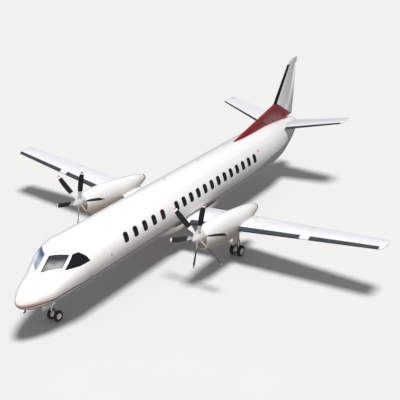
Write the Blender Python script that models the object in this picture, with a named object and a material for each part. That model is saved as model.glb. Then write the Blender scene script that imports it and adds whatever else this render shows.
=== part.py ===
"""Twin turboprop airliner parked on its landing gear.

Metres, +Z up. The nose points to -Y and the port side is +X. X = 0 is the middle plane,
Z = 0 the ground, and Y = 0 half of the overall length.
"""
import math

import bmesh
import bpy
from mathutils import Matrix, Vector

GAP = 0.0003            # left between pieces that touch
MOVING_GAP = 0.012      # left round pieces that move

# Fuselage
CABIN_RADIUS = 1.40
CABIN_Z = 2.65
FUSELAGE_SIDES = 32
CABIN_TOP = CABIN_Z + CABIN_RADIUS
CABIN_BOTTOM = CABIN_Z - CABIN_RADIUS

# Wing
DIHEDRAL = math.radians(5.5)
WING_TIP_X = 12.38
WING_TIP_Z = 2.81
WING_ROOT_X = 0.9
WING_CENTRE_Z = WING_TIP_Z - math.tan(DIHEDRAL) * WING_TIP_X

# Engines and propellers
NACELLE_X = 3.96
THRUST_Z = 2.765
DISC_Y = -4.70
BLADE_RADIUS = 1.93
BLADE_COUNT = 6
FIRST_BLADE = math.radians(81.0)
FIREWALL_Y = -1.95
COWL_FRONT_Y = -4.44
COWL_WALL = 0.03

# Landing gear
MAIN_AXLE_Y = -0.75
MAIN_TYRE_RADIUS = 0.32
MAIN_TYRE_WIDTH = 0.20
MAIN_RIM_RADIUS = 0.185
MAIN_TRACK = 0.46
NOSE_AXLE_Y = -11.30
NOSE_TYRE_RADIUS = 0.28
NOSE_TYRE_WIDTH = 0.16
NOSE_RIM_RADIUS = 0.16
NOSE_TRACK = 0.42

# Fin and tailplane
TAILPLANE_DIHEDRAL = math.radians(12.0)


def clear_scene():
    for old in list(bpy.data.objects):
        bpy.data.objects.remove(old, do_unlink=True)


def finish(name, colour, roughness, metallic=0.0):
    """One plain material for each sub-part."""
    material = bpy.data.materials.new(name)
    material.use_nodes = True
    shader = material.node_tree.nodes["Principled BSDF"]
    shader.inputs["Base Color"].default_value = (*colour, 1.0)
    shader.inputs["Roughness"].default_value = roughness
    shader.inputs["Metallic"].default_value = metallic
    material.diffuse_color = (*colour, 1.0)
    return material


FINISHES = {
    "white": ((0.86, 0.86, 0.87), 0.30, 0.0),
    "red": ((0.55, 0.03, 0.05), 0.30, 0.0),
    "glass": ((0.03, 0.04, 0.05), 0.08, 0.0),
    "black": ((0.02, 0.02, 0.02), 0.45, 0.0),
    "rubber": ((0.025, 0.025, 0.025), 0.80, 0.0),
    "rim": ((0.75, 0.75, 0.76), 0.35, 0.8),
    "steel": ((0.45, 0.45, 0.46), 0.35, 1.0),
    "dark": ((0.10, 0.10, 0.11), 0.50, 0.6),
}


def link(name, mesh, finish_name):
    """Put a mesh in the scene as the sub-part called name."""
    mesh.materials.clear()
    mesh.materials.append(finish(name, *FINISHES[finish_name]))
    for face in mesh.polygons:
        face.material_index = 0
    mesh.shade_smooth()
    mesh.set_sharp_from_angle(angle=math.radians(35.0))
    piece = bpy.data.objects.new(name, mesh)
    bpy.context.scene.collection.objects.link(piece)
    return piece


def to_mesh(bm, name):
    """Close off a bmesh with its faces pointing out."""
    bmesh.ops.recalc_face_normals(bm, faces=bm.faces)
    mesh = bpy.data.meshes.new(name)
    bm.to_mesh(mesh)
    bm.free()
    return mesh


def loft(name, rings, finish_name):
    """Skin a closed body over rings that all have the same number of points.

    The diagonals mirror each other across the middle plane, so that mirrored pieces fit.
    """
    bm = bmesh.new()
    loops = [[bm.verts.new(point) for point in ring] for ring in rings]
    for near, far in zip(loops, loops[1:]):
        for i in range(len(near)):
            across = near[i - 1].co.x + near[i].co.x + far[i].co.x + far[i - 1].co.x
            if across > 0.001:
                bm.faces.new((near[i - 1], near[i], far[i]))
                bm.faces.new((near[i - 1], far[i], far[i - 1]))
            else:
                bm.faces.new((near[i - 1], near[i], far[i - 1]))
                bm.faces.new((near[i], far[i], far[i - 1]))
    bm.faces.new(loops[0])
    bm.faces.new(loops[-1])
    return link(name, to_mesh(bm, name), finish_name)


def tube(name, outer, inner, finish_name):
    """A shell open at both ends, between an outer and an inner stack of rings."""
    bm = bmesh.new()
    rings = outer + inner[::-1]
    loops = [[bm.verts.new(point) for point in ring] for ring in rings]
    for near, far in zip(loops, loops[1:] + loops[:1]):
        for i in range(len(near)):
            bm.faces.new((near[i - 1], near[i], far[i], far[i - 1]))
    return link(name, to_mesh(bm, name), finish_name)


def prism(name, outline, depth, place, finish_name="white"):
    """Extrude a flat outline (x, y) from z = 0 to z = depth, then place it."""
    bm = bmesh.new()
    base = bm.faces.new([bm.verts.new((x, y, 0.0)) for x, y in outline])
    grown = bmesh.ops.extrude_face_region(bm, geom=[base])
    top = [item for item in grown["geom"] if isinstance(item, bmesh.types.BMVert)]
    bmesh.ops.translate(bm, vec=(0.0, 0.0, depth), verts=top)
    bmesh.ops.transform(bm, matrix=place, verts=bm.verts)
    return link(name, to_mesh(bm, name), finish_name)


def block(name, low, high, finish_name="white"):
    """A plain box between two corners."""
    outline = ((low[0], low[1]), (high[0], low[1]), (high[0], high[1]), (low[0], high[1]))
    return prism(name, outline, high[2] - low[2], Matrix.Translation((0, 0, low[2])), finish_name)


def turned(name, profile, steps, place, finish_name):
    """Spin a profile of (radius, along) round the Z axis, then place it."""
    bm = bmesh.new()
    line = [bm.verts.new((radius, 0.0, along)) for radius, along in profile]
    edges = [bm.edges.new(pair) for pair in zip(line, line[1:])]
    if profile[0][0] > 0.0 and profile[-1][0] > 0.0:
        edges.append(bm.edges.new((line[-1], line[0])))
    bmesh.ops.spin(bm, geom=line + edges, axis=(0, 0, 1), cent=(0, 0, 0), steps=steps,
                   angle=2.0 * math.pi, use_merge=True)
    bmesh.ops.remove_doubles(bm, verts=bm.verts, dist=0.00001)
    bmesh.ops.transform(bm, matrix=place, verts=bm.verts)
    return link(name, to_mesh(bm, name), finish_name)


def rod(name, start, end, radius, sides=12, finish_name="steel"):
    """A round bar between two points."""
    start = Vector(start)
    along = Vector(end) - start
    turn = Vector((0, 0, 1)).rotation_difference(along).to_matrix().to_4x4()
    place = Matrix.Translation(start) @ turn
    profile = ((0.0, along.length), (radius, along.length), (radius, 0.0), (0.0, 0.0))
    return turned(name, profile, sides, place, finish_name)


def guide(piece):
    """Mark a body that only shapes others."""
    piece.hide_render = True
    piece.display_type = "WIRE"
    return piece


def combine(piece, other, operation):
    """Cut, join or trim a piece with another body."""
    change = piece.modifiers.new(operation.title(), "BOOLEAN")
    change.operation = operation
    change.solver = "EXACT"
    change.object = guide(other)
    return piece


def settled(piece):
    """Apply a piece's modifiers, so that its shape can be mirrored."""
    graph = bpy.context.evaluated_depsgraph_get()
    mesh = bpy.data.meshes.new_from_object(piece.evaluated_get(graph))
    piece.modifiers.clear()
    piece.data = mesh
    return piece


def mirrored(piece, name, finish_name="white"):
    """The same piece on the other side of the middle plane."""
    settled(piece)
    bm = bmesh.new()
    bm.from_mesh(piece.data)
    bmesh.ops.transform(bm, matrix=piece.matrix_basis, verts=bm.verts)
    bmesh.ops.scale(bm, vec=(-1.0, 1.0, 1.0), verts=bm.verts)
    return link(name, to_mesh(bm, name), finish_name)


def set_origin(piece, point):
    """Put a moving piece's origin on its joint."""
    piece.data.transform(Matrix.Translation(-Vector(point)))
    piece.location = point


def oval(y, half_width, top, bottom, sides, grow=0.0):
    """A ring of points across the fuselage or a nacelle, centred on x = 0."""
    middle = (top + bottom) / 2.0
    half_height = (top - bottom) / 2.0 + grow
    ring = []
    for i in range(sides):
        angle = 2.0 * math.pi * (i + 0.5) / sides
        x = (half_width + grow) * math.sin(angle)
        z = middle + half_height * math.cos(angle)
        ring.append((x, y, z))
    return ring


# The cabin's rear bulkhead, where the empty rear fuselage is joined on
BULKHEAD_Y = 8.30
REAR_WALL = 0.06
REAR_CAVITY_END_Y = 12.80

# y, half width, top, bottom
FUSELAGE_SECTIONS = (
    (-13.64, 0.05, 2.07, 1.98),
    (-13.60, 0.155, 2.19, 1.86),
    (-13.45, 0.32, 2.36, 1.69),
    (-13.15, 0.545, 2.585, 1.535),
    (-12.70, 0.775, 2.80, 1.415),
    (-12.21, 0.965, 2.99, 1.34),
    (-11.85, 1.065, 3.29, 1.30),
    (-11.48, 1.18, 3.63, 1.275),
    (-11.05, 1.305, 3.89, 1.26),
    (-10.30, CABIN_RADIUS, CABIN_TOP, CABIN_BOTTOM),
    (-6.00, CABIN_RADIUS, CABIN_TOP, CABIN_BOTTOM),
    (0.00, CABIN_RADIUS, CABIN_TOP, CABIN_BOTTOM),
    (6.00, CABIN_RADIUS, CABIN_TOP, CABIN_BOTTOM),
    (BULKHEAD_Y, 1.375, CABIN_TOP, CABIN_BOTTOM + 0.03),
    (8.80, 1.355, CABIN_TOP, CABIN_BOTTOM + 0.05),
    (10.00, 1.24, 3.98, 1.44),
    (10.80, 1.08, 3.89, 1.66),
    (11.50, 0.93, 3.81, 1.91),
    (12.17, 0.77, 3.74, 2.20),
    (12.80, 0.58, 3.66, 2.49),
    (13.30, 0.38, 3.56, 2.72),
)


def fuselage_body(name, grow):
    """The fuselage as one closed form, grown to cut its neighbours to it."""
    rings = [oval(*section, FUSELAGE_SIDES, grow) for section in FUSELAGE_SECTIONS]
    return loft(name, rings, "white")


def front_fuselage():
    """The nose and cabin, up to the bulkhead."""
    rings = [oval(*section, FUSELAGE_SIDES) for section in FUSELAGE_SECTIONS
             if section[0] <= BULKHEAD_Y]
    return loft("fuselage", rings, "white")


def rear_fuselage():
    """The empty shell behind the bulkhead, which carries the fin and the tailplane."""
    rows = [section for section in FUSELAGE_SECTIONS if section[0] >= BULKHEAD_Y]
    joint = rows[0][1:]
    rings = [oval(*row, FUSELAGE_SIDES) for row in [(BULKHEAD_Y + GAP, *joint), *rows[1:]]]
    rear = loft("rear_fuselage", rings, "white")
    hollow = [(BULKHEAD_Y - 0.1, *joint)]
    hollow += [row for row in rows[1:] if row[0] <= REAR_CAVITY_END_Y]
    cavity = loft("rear_cavity", [oval(*row, FUSELAGE_SIDES, -REAR_WALL) for row in hollow],
                  "white")
    combine(rear, cavity, "DIFFERENCE")
    return rear


# Corners of the port panes: x, y, z. The starboard panes are their mirror image.
WINDSCREEN_CORNERS = (
    (0.12, -11.49, 3.62), (0.87, -10.88, 3.60), (0.92, -11.49, 3.18), (0.13, -12.16, 3.02))
SIDE_PANE_CORNERS = (
    (0.90, -10.77, 3.60), (0.99, -10.44, 3.60), (1.22, -10.14, 3.34),
    (1.34, -10.00, 3.05), (1.28, -10.69, 3.04), (1.00, -11.46, 3.08))
WINDSCREEN_FACING = Vector((0.42, -0.42, 0.80))
SIDE_PANE_FACING = Vector((0.93, -0.10, 0.36))
PANE_DEPTH = 0.03

# name, side, y from, y to, z from, z to
DOORS = (
    ("passenger_door", 1, -8.66, -7.54, 1.96, 3.56),
    ("service_door", -1, -8.40, -7.72, 2.02, 3.40),
    ("baggage_door", 1, 6.72, 8.02, 2.18, 3.42),
)
DOOR_INNER_X = 0.78
DOOR_SEAM = 0.006
DOOR_CORNER = 0.12


def slab(name, corners, facing, inward, outward, shrink=0.0):
    """A straight-sided block through a pane's corners, square to the way the pane faces."""
    facing = facing.normalized()
    centre = sum((Vector(corner) for corner in corners), Vector()) / len(corners)
    heights = [(Vector(corner) - centre).dot(facing) for corner in corners]
    bm = bmesh.new()
    base = []
    for corner, height in zip(corners, heights):
        flat = centre + (Vector(corner) - centre - height * facing) * (1.0 - shrink)
        base.append(bm.verts.new(flat + facing * (min(heights) - inward)))
    grown = bmesh.ops.extrude_face_region(bm, geom=[bm.faces.new(base)])
    top = [item for item in grown["geom"] if isinstance(item, bmesh.types.BMVert)]
    rise = facing * (max(heights) - min(heights) + inward + outward)
    bmesh.ops.translate(bm, vec=rise, verts=top)
    return link(name, to_mesh(bm, name), "glass")


def rounded_rectangle(low, high, corner, steps=3):
    """The outline of a rectangle with round corners."""
    centres = ((high[0] - corner, high[1] - corner), (low[0] + corner, high[1] - corner),
               (low[0] + corner, low[1] + corner), (high[0] - corner, low[1] + corner))
    points = []
    for quarter, (x, y) in enumerate(centres):
        for step in range(steps + 1):
            angle = math.pi / 2.0 * (quarter + step / steps)
            points.append((x + corner * math.cos(angle), y + corner * math.sin(angle)))
    return points


def door_block(name, side, y_low, y_high, z_low, z_high, inner_x, shrink):
    """A round-cornered block along X, from inside the door to outside the skin."""
    outline = rounded_rectangle((y_low + shrink, z_low + shrink),
                                (y_high - shrink, z_high - shrink), DOOR_CORNER)
    columns = Matrix(((0, 0, side, side * inner_x), (1, 0, 0, 0), (0, 1, 0, 0), (0, 0, 0, 1)))
    return prism(name, outline, 1.0, columns)


NOSE_BAY_LOW = (-0.24, -12.45, 1.0)
NOSE_BAY_HIGH = (0.24, -11.12, 1.86)


def front_and_openings():
    """The nose and cabin with their panes, doors and nose bay, then the tail cone."""
    fuselage = front_fuselage()
    panes = (("windscreen", WINDSCREEN_CORNERS, WINDSCREEN_FACING),
             ("side_window", SIDE_PANE_CORNERS, SIDE_PANE_FACING))
    for pane_name, corners, facing in panes:
        for side, side_name in ((1, "left"), (-1, "right")):
            across = [(side * x, y, z) for x, y, z in corners]
            if side < 0:
                across.reverse()
            faces = Vector((side * facing.x, facing.y, facing.z))
            name = f"{pane_name}_{side_name}"
            cut = slab(name + "_opening", across, faces, PANE_DEPTH + GAP, 0.5)
            combine(fuselage, cut, "DIFFERENCE")
            pane = slab(name, across, faces, PANE_DEPTH, 0.5, shrink=0.006)
            combine(pane, fuselage_body(name + "_skin", 0.0), "INTERSECT")
    for name, side, *extent in DOORS:
        cut = door_block(name + "_opening", side, *extent, DOOR_INNER_X - GAP, 0.0)
        combine(fuselage, cut, "DIFFERENCE")
        door = door_block(name, side, *extent, DOOR_INNER_X, DOOR_SEAM)
        combine(door, fuselage_body(name + "_skin", 0.0), "INTERSECT")
    combine(fuselage, block("nose_bay", NOSE_BAY_LOW, NOSE_BAY_HIGH), "DIFFERENCE")
    combine(fuselage, jack_pad("nose_pad", *NOSE_PAD), "UNION")
    loft("tail_cone", [oval(*section, 16) for section in TAIL_CONE_SECTIONS], "white")


# y, half width, top, bottom
TAIL_CONE_SECTIONS = (
    (13.30 + GAP, 0.375, 3.555, 2.725),
    (13.46, 0.28, 3.47, 2.86),
    (13.58, 0.16, 3.36, 3.00),
    (13.64, 0.05, 3.24, 3.13),
)

# y, half width, top, bottom
FAIRING_SECTIONS = (
    (-4.00, 0.45, 1.75, 1.30),
    (-3.30, 1.00, 2.00, 1.20),
    (-2.40, 1.33, 2.17, 1.12),
    (0.60, 1.33, 2.17, 1.11),
    (1.90, 1.12, 2.08, 1.16),
    (3.20, 0.50, 1.80, 1.30),
)
FAIRING_SIDES = 20


def fairing_body(name, grow):
    return loft(name, [oval(*s, FAIRING_SIDES, grow) for s in FAIRING_SECTIONS], "white")


def wing_fairing():
    """The belly fairing that carries both wing panels."""
    fairing = fairing_body("wing_fairing", 0.0)
    combine(fairing, fuselage_body("fairing_seat", GAP), "DIFFERENCE")


# Straight leading and trailing edges: y at the middle plane, change in y per metre of span
LEADING_EDGE = (-2.067, 0.089)
TRAILING_EDGE = (0.60, -0.0275)
# span, thickness ratio, leading edge moved back, trailing edge moved forward
WING_SECTIONS = (
    (WING_ROOT_X, 0.165, 0.0, 0.0),
    (4.07, 0.155, 0.0, 0.0),
    (8.20, 0.145, 0.0, 0.0),
    (12.20, 0.13, 0.0, 0.0),
    (12.36, 0.105, 0.09, 0.02),
    (12.43, 0.06, 0.27, 0.07),
)
CAMBER = 0.018
BLUNT_EDGE = 0.004
PROFILE_STATIONS = 8


def edge_at(edge, span):
    return edge[0] + edge[1] * span


def half_thickness(along, ratio):
    """Half the thickness of the wing profile at a fraction of its chord."""
    curve = (0.2969 * math.sqrt(along) - 0.1260 * along - 0.3516 * along ** 2
             + 0.2843 * along ** 3 - 0.1036 * along ** 4)
    return 5.0 * ratio * curve


def camber_line(along, camber):
    return camber * 4.0 * along * (1.0 - along)


def profile_ring(leading, trailing, ratio, camber, grow=0.0):
    """Points (along, up) round a wing profile, from the trailing edge over the top."""
    chord = trailing - leading
    upper = []
    lower = []
    for step in range(PROFILE_STATIONS + 1):
        along = (1.0 + math.cos(math.pi * step / PROFILE_STATIONS)) / 2.0
        middle = camber_line(along, camber) * chord
        half = half_thickness(along, ratio) * chord + BLUNT_EDGE * along + grow
        place = leading - grow + along * (chord + 2.0 * grow)
        upper.append((place, middle + half))
        lower.append((place, middle - half))
    return upper[:-1] + [(leading - grow, 0.0)] + lower[-2::-1]


WING_PLACE = (Matrix.Translation((0.0, 0.0, WING_CENTRE_Z))
              @ Matrix.Rotation(-DIHEDRAL, 4, "Y"))


def span_loft(name, sections, place, finish_name="white"):
    """Skin rings of (along, up) that stand at stations along the span."""
    rings = []
    for span, ring in sections:
        rings.append([place @ Vector((span, y, z)) for y, z in ring])
    return loft(name, rings, finish_name)


def wing_body(name, grow):
    sections = []
    for span, ratio, back, forward in WING_SECTIONS:
        leading = edge_at(LEADING_EDGE, span) + back
        trailing = edge_at(TRAILING_EDGE, span) - forward
        sections.append((span, profile_ring(leading, trailing, ratio, CAMBER, grow)))
    return span_loft(name, sections, WING_PLACE)


SURFACE_NOSE_STEPS = 8
SURFACE_SKIN = 0.004


def surface_ring(hinge, trailing, middle, radius, edge_middle, grow):
    """A control surface's section: round nose on the hinge line, then straight to its edge."""
    ring = []
    for step in range(SURFACE_NOSE_STEPS + 1):
        angle = math.pi / 2.0 + math.pi * step / SURFACE_NOSE_STEPS
        reach = radius + grow
        ring.append((hinge + reach * math.cos(angle), middle + reach * math.sin(angle)))
    if grow:
        ring.append((trailing + 0.3, middle - 0.5))
        ring.append((trailing + 0.3, middle + 0.5))
    else:
        ring.append((trailing, edge_middle - BLUNT_EDGE))
        ring.append((trailing, edge_middle + BLUNT_EDGE))
    return ring


def surface_sections(spans, chord_part, leading_edge, trailing_edge, ratio_at, camber, grow,
                     drop=0.0):
    """Sections at both ends of a surface, and its hinge line's two ends.

    The hinge line lies drop times the nose's radius below the middle of the section.
    """
    sections = []
    hinges = []
    for span in spans:
        leading = edge_at(leading_edge, span)
        trailing = edge_at(trailing_edge, span)
        chord = trailing - leading
        hinge = trailing - chord_part * chord
        along = 1.0 - chord_part
        middle = camber_line(along, camber) * chord
        radius = half_thickness(along, ratio_at(span)) * chord - SURFACE_SKIN
        sections.append((span, surface_ring(hinge, trailing, middle, radius, 0.0, grow)))
        hinges.append((span, hinge, middle - drop * radius))
    return sections, hinges


PIN_RADIUS = 0.014
PIN_CLEARANCE = 0.0009
PIN_REACH = 0.05
PIN_SIDES = 8
BORE_SIDES = 12


def hinge_pins(surface, carriers, ends, reaches=(PIN_REACH, PIN_REACH)):
    """Pins on a surface's hinge line, each in a bore of the piece that carries it."""
    middle = (ends[0] + ends[1]) / 2.0
    for i, (end, carrier, reach) in enumerate(zip(ends, carriers, reaches)):
        out = (end - middle).normalized()
        name = f"{surface.name}_pin_{i}"
        tip = end + out * reach
        combine(surface, rod(name, end - out * 0.05, tip, PIN_RADIUS, PIN_SIDES), "UNION")
        bore = rod(name + "_bore", end - out * 0.01, tip + out * PIN_CLEARANCE,
                   PIN_RADIUS + PIN_CLEARANCE, BORE_SIDES)
        combine(carrier, bore, "DIFFERENCE")
    return middle


def wing_ratio(span):
    """Thickness ratio between the sections of the wing."""
    for near, far in zip(WING_SECTIONS, WING_SECTIONS[1:]):
        if span <= far[0]:
            part = (span - near[0]) / (far[0] - near[0])
            return near[1] + part * (far[1] - near[1])
    return WING_SECTIONS[-1][1]


SURFACE_PART = 0.27
END_GAP = 0.015
# name, span from, span to, hinge line below the middle in nose radii
WING_SURFACES = (
    ("flap_inner", 1.50, 3.50, 0.65),
    ("flap_outer", 4.68, 8.10, 0.65),
    ("aileron", 8.22, 11.95, 0.0),
)


# x, y, top inside the piece, flat lower face
WING_PAD = (5.10, -1.00, 2.10, 1.955)
NOSE_PAD = (0.0, -9.60, 1.60, CABIN_BOTTOM - 0.02)
PAD_RADIUS = 0.06


def jack_pad(name, x, y, top, low):
    """A flat round pad that a jack lifts under."""
    return rod(name, (x, y, low), (x, y, top), PAD_RADIUS, 16)


def wings():
    """Wing panels with flaps and ailerons, port first and then mirrored."""
    wing = wing_body("wing_left", 0.0)
    surfaces = []
    for name, start, end, drop in WING_SURFACES:
        cut_spans = (start - END_GAP, end + END_GAP)
        cut, _ = surface_sections(cut_spans, SURFACE_PART, LEADING_EDGE, TRAILING_EDGE,
                                  wing_ratio, CAMBER, MOVING_GAP)
        combine(wing, span_loft(name + "_opening", cut, WING_PLACE), "DIFFERENCE")
        shape, hinges = surface_sections((start, end), SURFACE_PART, LEADING_EDGE,
                                         TRAILING_EDGE, wing_ratio, CAMBER, 0.0, drop)
        surface = span_loft(name + "_left", shape, WING_PLACE)
        ends = [WING_PLACE @ Vector(hinge) for hinge in hinges]
        surfaces.append((name, surface, hinge_pins(surface, (wing, wing), ends)))
    combine(wing, jack_pad("wing_pad", *WING_PAD), "UNION")
    combine(wing, fuselage_body("wing_seat_a", GAP), "DIFFERENCE")
    combine(wing, fairing_body("wing_seat_b", GAP), "DIFFERENCE")
    mirrored(wing, "wing_right")
    for name, surface, hinge in surfaces:
        other = mirrored(surface, name + "_right")
        set_origin(surface, hinge)
        set_origin(other, (-hinge.x, hinge.y, hinge.z))


# y, half width, top, bottom
COWL_SECTIONS = (
    (COWL_FRONT_Y, 0.385, 3.135, 1.98),
    (-4.30, 0.43, 3.165, 1.87),
    (-4.00, 0.48, 3.20, 1.73),
    (-3.30, 0.54, 3.21, 1.57),
    (FIREWALL_Y - GAP, 0.57, 3.09, 1.42),
)
# y, half width, top, bottom
NACELLE_SECTIONS = (
    (FIREWALL_Y, 0.57, 3.09, 1.42),
    (-1.20, 0.55, 2.98, 1.44),
    (-0.50, 0.50, 2.86, 1.56),
    (0.20, 0.42, 2.73, 1.77),
    (0.72, 0.33, 2.60, 1.93),
    (1.06, 0.25, 2.50, 2.01),
)
NACELLE_SIDES = 20
GEAR_BAY_LOW = (NACELLE_X - 0.30, -1.85, 1.0)
GEAR_BAY_HIGH = (NACELLE_X + 0.30, -0.32, 1.80)
EXHAUST_Z = 2.25
EXHAUST_RADIUS = 0.20
ENGINE_FRONT_Y = -4.28
ENGINE_Z = 2.50
ENGINE_RADIUS = 0.33
GEARBOX_BACK_Y = -3.75
GEARBOX_RADIUS = 0.24


def shifted(ring, x):
    return [(px + x, y, z) for px, y, z in ring]


def nacelle_body(name, grow):
    rings = [shifted(oval(*s, NACELLE_SIDES, grow), NACELLE_X) for s in NACELLE_SECTIONS]
    return loft(name, rings, "white")


def along_y(x, y, z):
    """Turn a piece spun round Z so that its axis runs along Y."""
    return Matrix.Translation((x, y, z)) @ Matrix.Rotation(-math.pi / 2.0, 4, "X")


def nacelles():
    """Cowling, engine block, rear nacelle and exhaust, port first and then mirrored."""
    outer = [shifted(oval(*s, NACELLE_SIDES), NACELLE_X) for s in COWL_SECTIONS]
    inner = [shifted(oval(*s, NACELLE_SIDES, -COWL_WALL), NACELLE_X) for s in COWL_SECTIONS]
    cowl = tube("cowling_left", outer, inner, "white")
    nacelle = nacelle_body("nacelle_left", 0.0)
    combine(nacelle, wing_body("nacelle_wing_seat", GAP), "DIFFERENCE")
    combine(nacelle, block("gear_bay", GEAR_BAY_LOW, GEAR_BAY_HIGH), "DIFFERENCE")
    bore_profile = ((0.0, 0.6), (EXHAUST_RADIUS + GAP, 0.6), (EXHAUST_RADIUS + GAP, 0.0),
                    (0.0, 0.0))
    bore_place = along_y(NACELLE_X, 0.70, EXHAUST_Z)
    combine(nacelle, turned("exhaust_bore", bore_profile, 20, bore_place, "dark"), "DIFFERENCE")
    pipe_wall = 0.02
    pipe_profile = ((EXHAUST_RADIUS, 0.50), (EXHAUST_RADIUS, 0.0),
                    (EXHAUST_RADIUS - pipe_wall, 0.0), (EXHAUST_RADIUS - pipe_wall, 0.50))
    pipe_place = along_y(NACELLE_X, 0.70 + GAP, EXHAUST_Z)
    pipe = turned("exhaust_left", pipe_profile, 20, pipe_place, "dark")
    engine = rod("engine_left", (NACELLE_X, GEARBOX_BACK_Y - 0.05, ENGINE_Z),
                 (NACELLE_X, FIREWALL_Y - GAP, ENGINE_Z), ENGINE_RADIUS)
    gearbox = rod("gearbox", (NACELLE_X, ENGINE_FRONT_Y, THRUST_Z),
                  (NACELLE_X, GEARBOX_BACK_Y, THRUST_Z), GEARBOX_RADIUS)
    combine(engine, gearbox, "UNION")
    for piece, name, finish_name in ((cowl, "cowling_right", "white"),
                                     (nacelle, "nacelle_right", "white"),
                                     (pipe, "exhaust_right", "dark"),
                                     (engine, "engine_right", "steel")):
        mirrored(piece, name, finish_name)


SHAFT_GAP = 0.0008
HUB_RADIUS = 0.20
# radius, along Y behind the blades' plane
SPINNER_OUTSIDE = (
    (0.0, -0.52), (0.06, -0.46), (0.15, -0.33), (0.25, -0.13), (0.32, 0.08),
    (0.335, 0.24))
SPINNER_WALL = 0.012
SPINNER_SIDES = 18
SPINNER_HOLE = 0.10
# along the blade, chord, thickness, pitch in degrees, chord in front of the blade's axis
BLADE_SECTIONS = (
    (0.12, 0.14, 0.14, 66.0, 0.5),
    (0.36, 0.15, 0.12, 64.0, 0.5),
    (0.62, 0.25, 0.065, 56.0, 0.49),
    (1.05, 0.285, 0.042, 46.0, 0.50),
    (1.50, 0.275, 0.028, 39.0, 0.46),
    (1.82, 0.20, 0.018, 35.0, 0.32),
    (BLADE_RADIUS, 0.07, 0.010, 33.0, 0.0),
)
BLADE_POINTS = 8


def turned_round(piece, turn):
    """Turn a piece's mesh round the shaft, so that all copies weigh the same."""
    piece.data.transform(turn)
    return piece


def blade(name):
    """One blade, standing up from the hub."""
    rings = []
    for reach, chord, thickness, pitch, ahead in BLADE_SECTIONS:
        pitch = math.radians(pitch)
        forward = Vector((-math.cos(pitch), -math.sin(pitch), 0.0))
        face = Vector((-math.sin(pitch), math.cos(pitch), 0.0))
        ring = []
        for i in range(BLADE_POINTS):
            angle = 2.0 * math.pi * i / BLADE_POINTS
            along = chord * (math.cos(angle) / 2.0 + ahead - 0.5)
            point = forward * along + face * thickness / 2.0 * math.sin(angle)
            ring.append(point + Vector((0.0, 0.0, reach)))
        rings.append(ring)
    return loft(name, rings, "black")


def propeller(side_name, x):
    """Blades, hub and shaft as one solid, with the spinner round them."""
    hub_centre = (x, DISC_Y, THRUST_Z)
    shaft_end = ENGINE_FRONT_Y - SHAFT_GAP - DISC_Y
    hub_profile = ((0.0, shaft_end), (0.09, shaft_end), (0.09, 0.24), (HUB_RADIUS, 0.24),
                   (HUB_RADIUS, -0.16), (0.0, -0.16))
    upright = along_y(0.0, 0.0, 0.0)
    hub = turned("propeller_" + side_name, hub_profile, SPINNER_SIDES, upright, "black")
    spinner = spinner_body("spinner_" + side_name)
    for i in range(BLADE_COUNT):
        angle = math.pi / 2.0 - FIRST_BLADE + 2.0 * math.pi * i / BLADE_COUNT
        turn = Matrix.Rotation(angle, 4, "Y")
        combine(hub, turned_round(blade(f"blade_{side_name}_{i}"), turn), "UNION")
        hole = rod(f"hole_{side_name}_{i}", (0, 0, 0.21), (0, 0, 0.45), SPINNER_HOLE, 8)
        combine(spinner, turned_round(hole, turn), "DIFFERENCE")
    for piece in (hub, spinner):
        settled(piece)
        piece.location = hub_centre


def spinner_body(name):
    """A hollow spinner with a back plate that sits on the hub."""
    outside = list(SPINNER_OUTSIDE)
    back = outside[-1][1]
    plate = [(HUB_RADIUS + GAP, back), (HUB_RADIUS + GAP, back - SPINNER_WALL)]
    inside = [(max(radius - SPINNER_WALL, 0.0), y + SPINNER_WALL)
              for radius, y in outside[:-1]]
    inside[0] = (0.0, outside[0][1] + 2.0 * SPINNER_WALL)
    inside.append((outside[-1][0] - SPINNER_WALL, back - SPINNER_WALL))
    profile = outside + plate + inside[::-1]
    return turned(name, profile, SPINNER_SIDES, along_y(0.0, 0.0, 0.0), "white")


AXLE_GAP = 0.0009
WHEEL_STEPS = 20


def along_x(x, y, z):
    """Lay a wheel that is spun round Z along X, with one of its flats underneath."""
    flat_down = Matrix.Rotation(math.pi / WHEEL_STEPS, 4, "Z")
    return Matrix.Translation((x, y, z)) @ Matrix.Rotation(math.pi / 2.0, 4, "Y") @ flat_down


def axle_bore(name, x, y, z, radius):
    """The hole that an axle turns in."""
    profile = ((0.0, 0.2), (radius, 0.2), (radius, -0.2), (0.0, -0.2))
    return turned(name, profile, WHEEL_STEPS, along_x(x, y, z), "steel")


def wheel_pair(name, x, y, track, tyre_radius, tyre_width, rim_radius, axle_radius):
    """Two rims on a live axle, and a tyre round each."""
    half = track / 2.0
    reach = tyre_width * 0.45
    side = [(axle_radius, half - reach), (rim_radius, half - reach),
            (rim_radius, half + reach), (rim_radius * 0.82, half + reach),
            (rim_radius * 0.65, half + reach * 0.45), (rim_radius * 0.30, half + reach * 0.45),
            (rim_radius * 0.24, half + reach), (0.0, half + reach)]
    profile = [(radius, -along) for radius, along in side[::-1]] + side
    rims = turned(name, profile, WHEEL_STEPS, along_x(0.0, 0.0, 0.0), "rim")
    rims.location = (x, y, tyre_radius)
    width = tyre_width / 2.0
    tread = tyre_radius / math.cos(math.pi / WHEEL_STEPS)
    depth = tread - rim_radius
    tyre = [(rim_radius + GAP, -reach), (rim_radius + GAP, reach),
            (rim_radius + depth * 0.40, width), (rim_radius + depth * 0.80, width * 0.86),
            (tread, width * 0.45), (tread, -width * 0.45),
            (rim_radius + depth * 0.80, -width * 0.86), (rim_radius + depth * 0.40, -width)]
    for part, offset in (("a", half), ("b", -half)):
        ring = turned(f"{name}_tyre_{part}", tyre, WHEEL_STEPS, along_x(offset, 0.0, 0.0),
                      "rubber")
        ring.location = (x, y, tyre_radius)


MAIN_AXLE_RADIUS = 0.045
NOSE_AXLE_RADIUS = 0.03
DOOR_PLATE = 0.02


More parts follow.
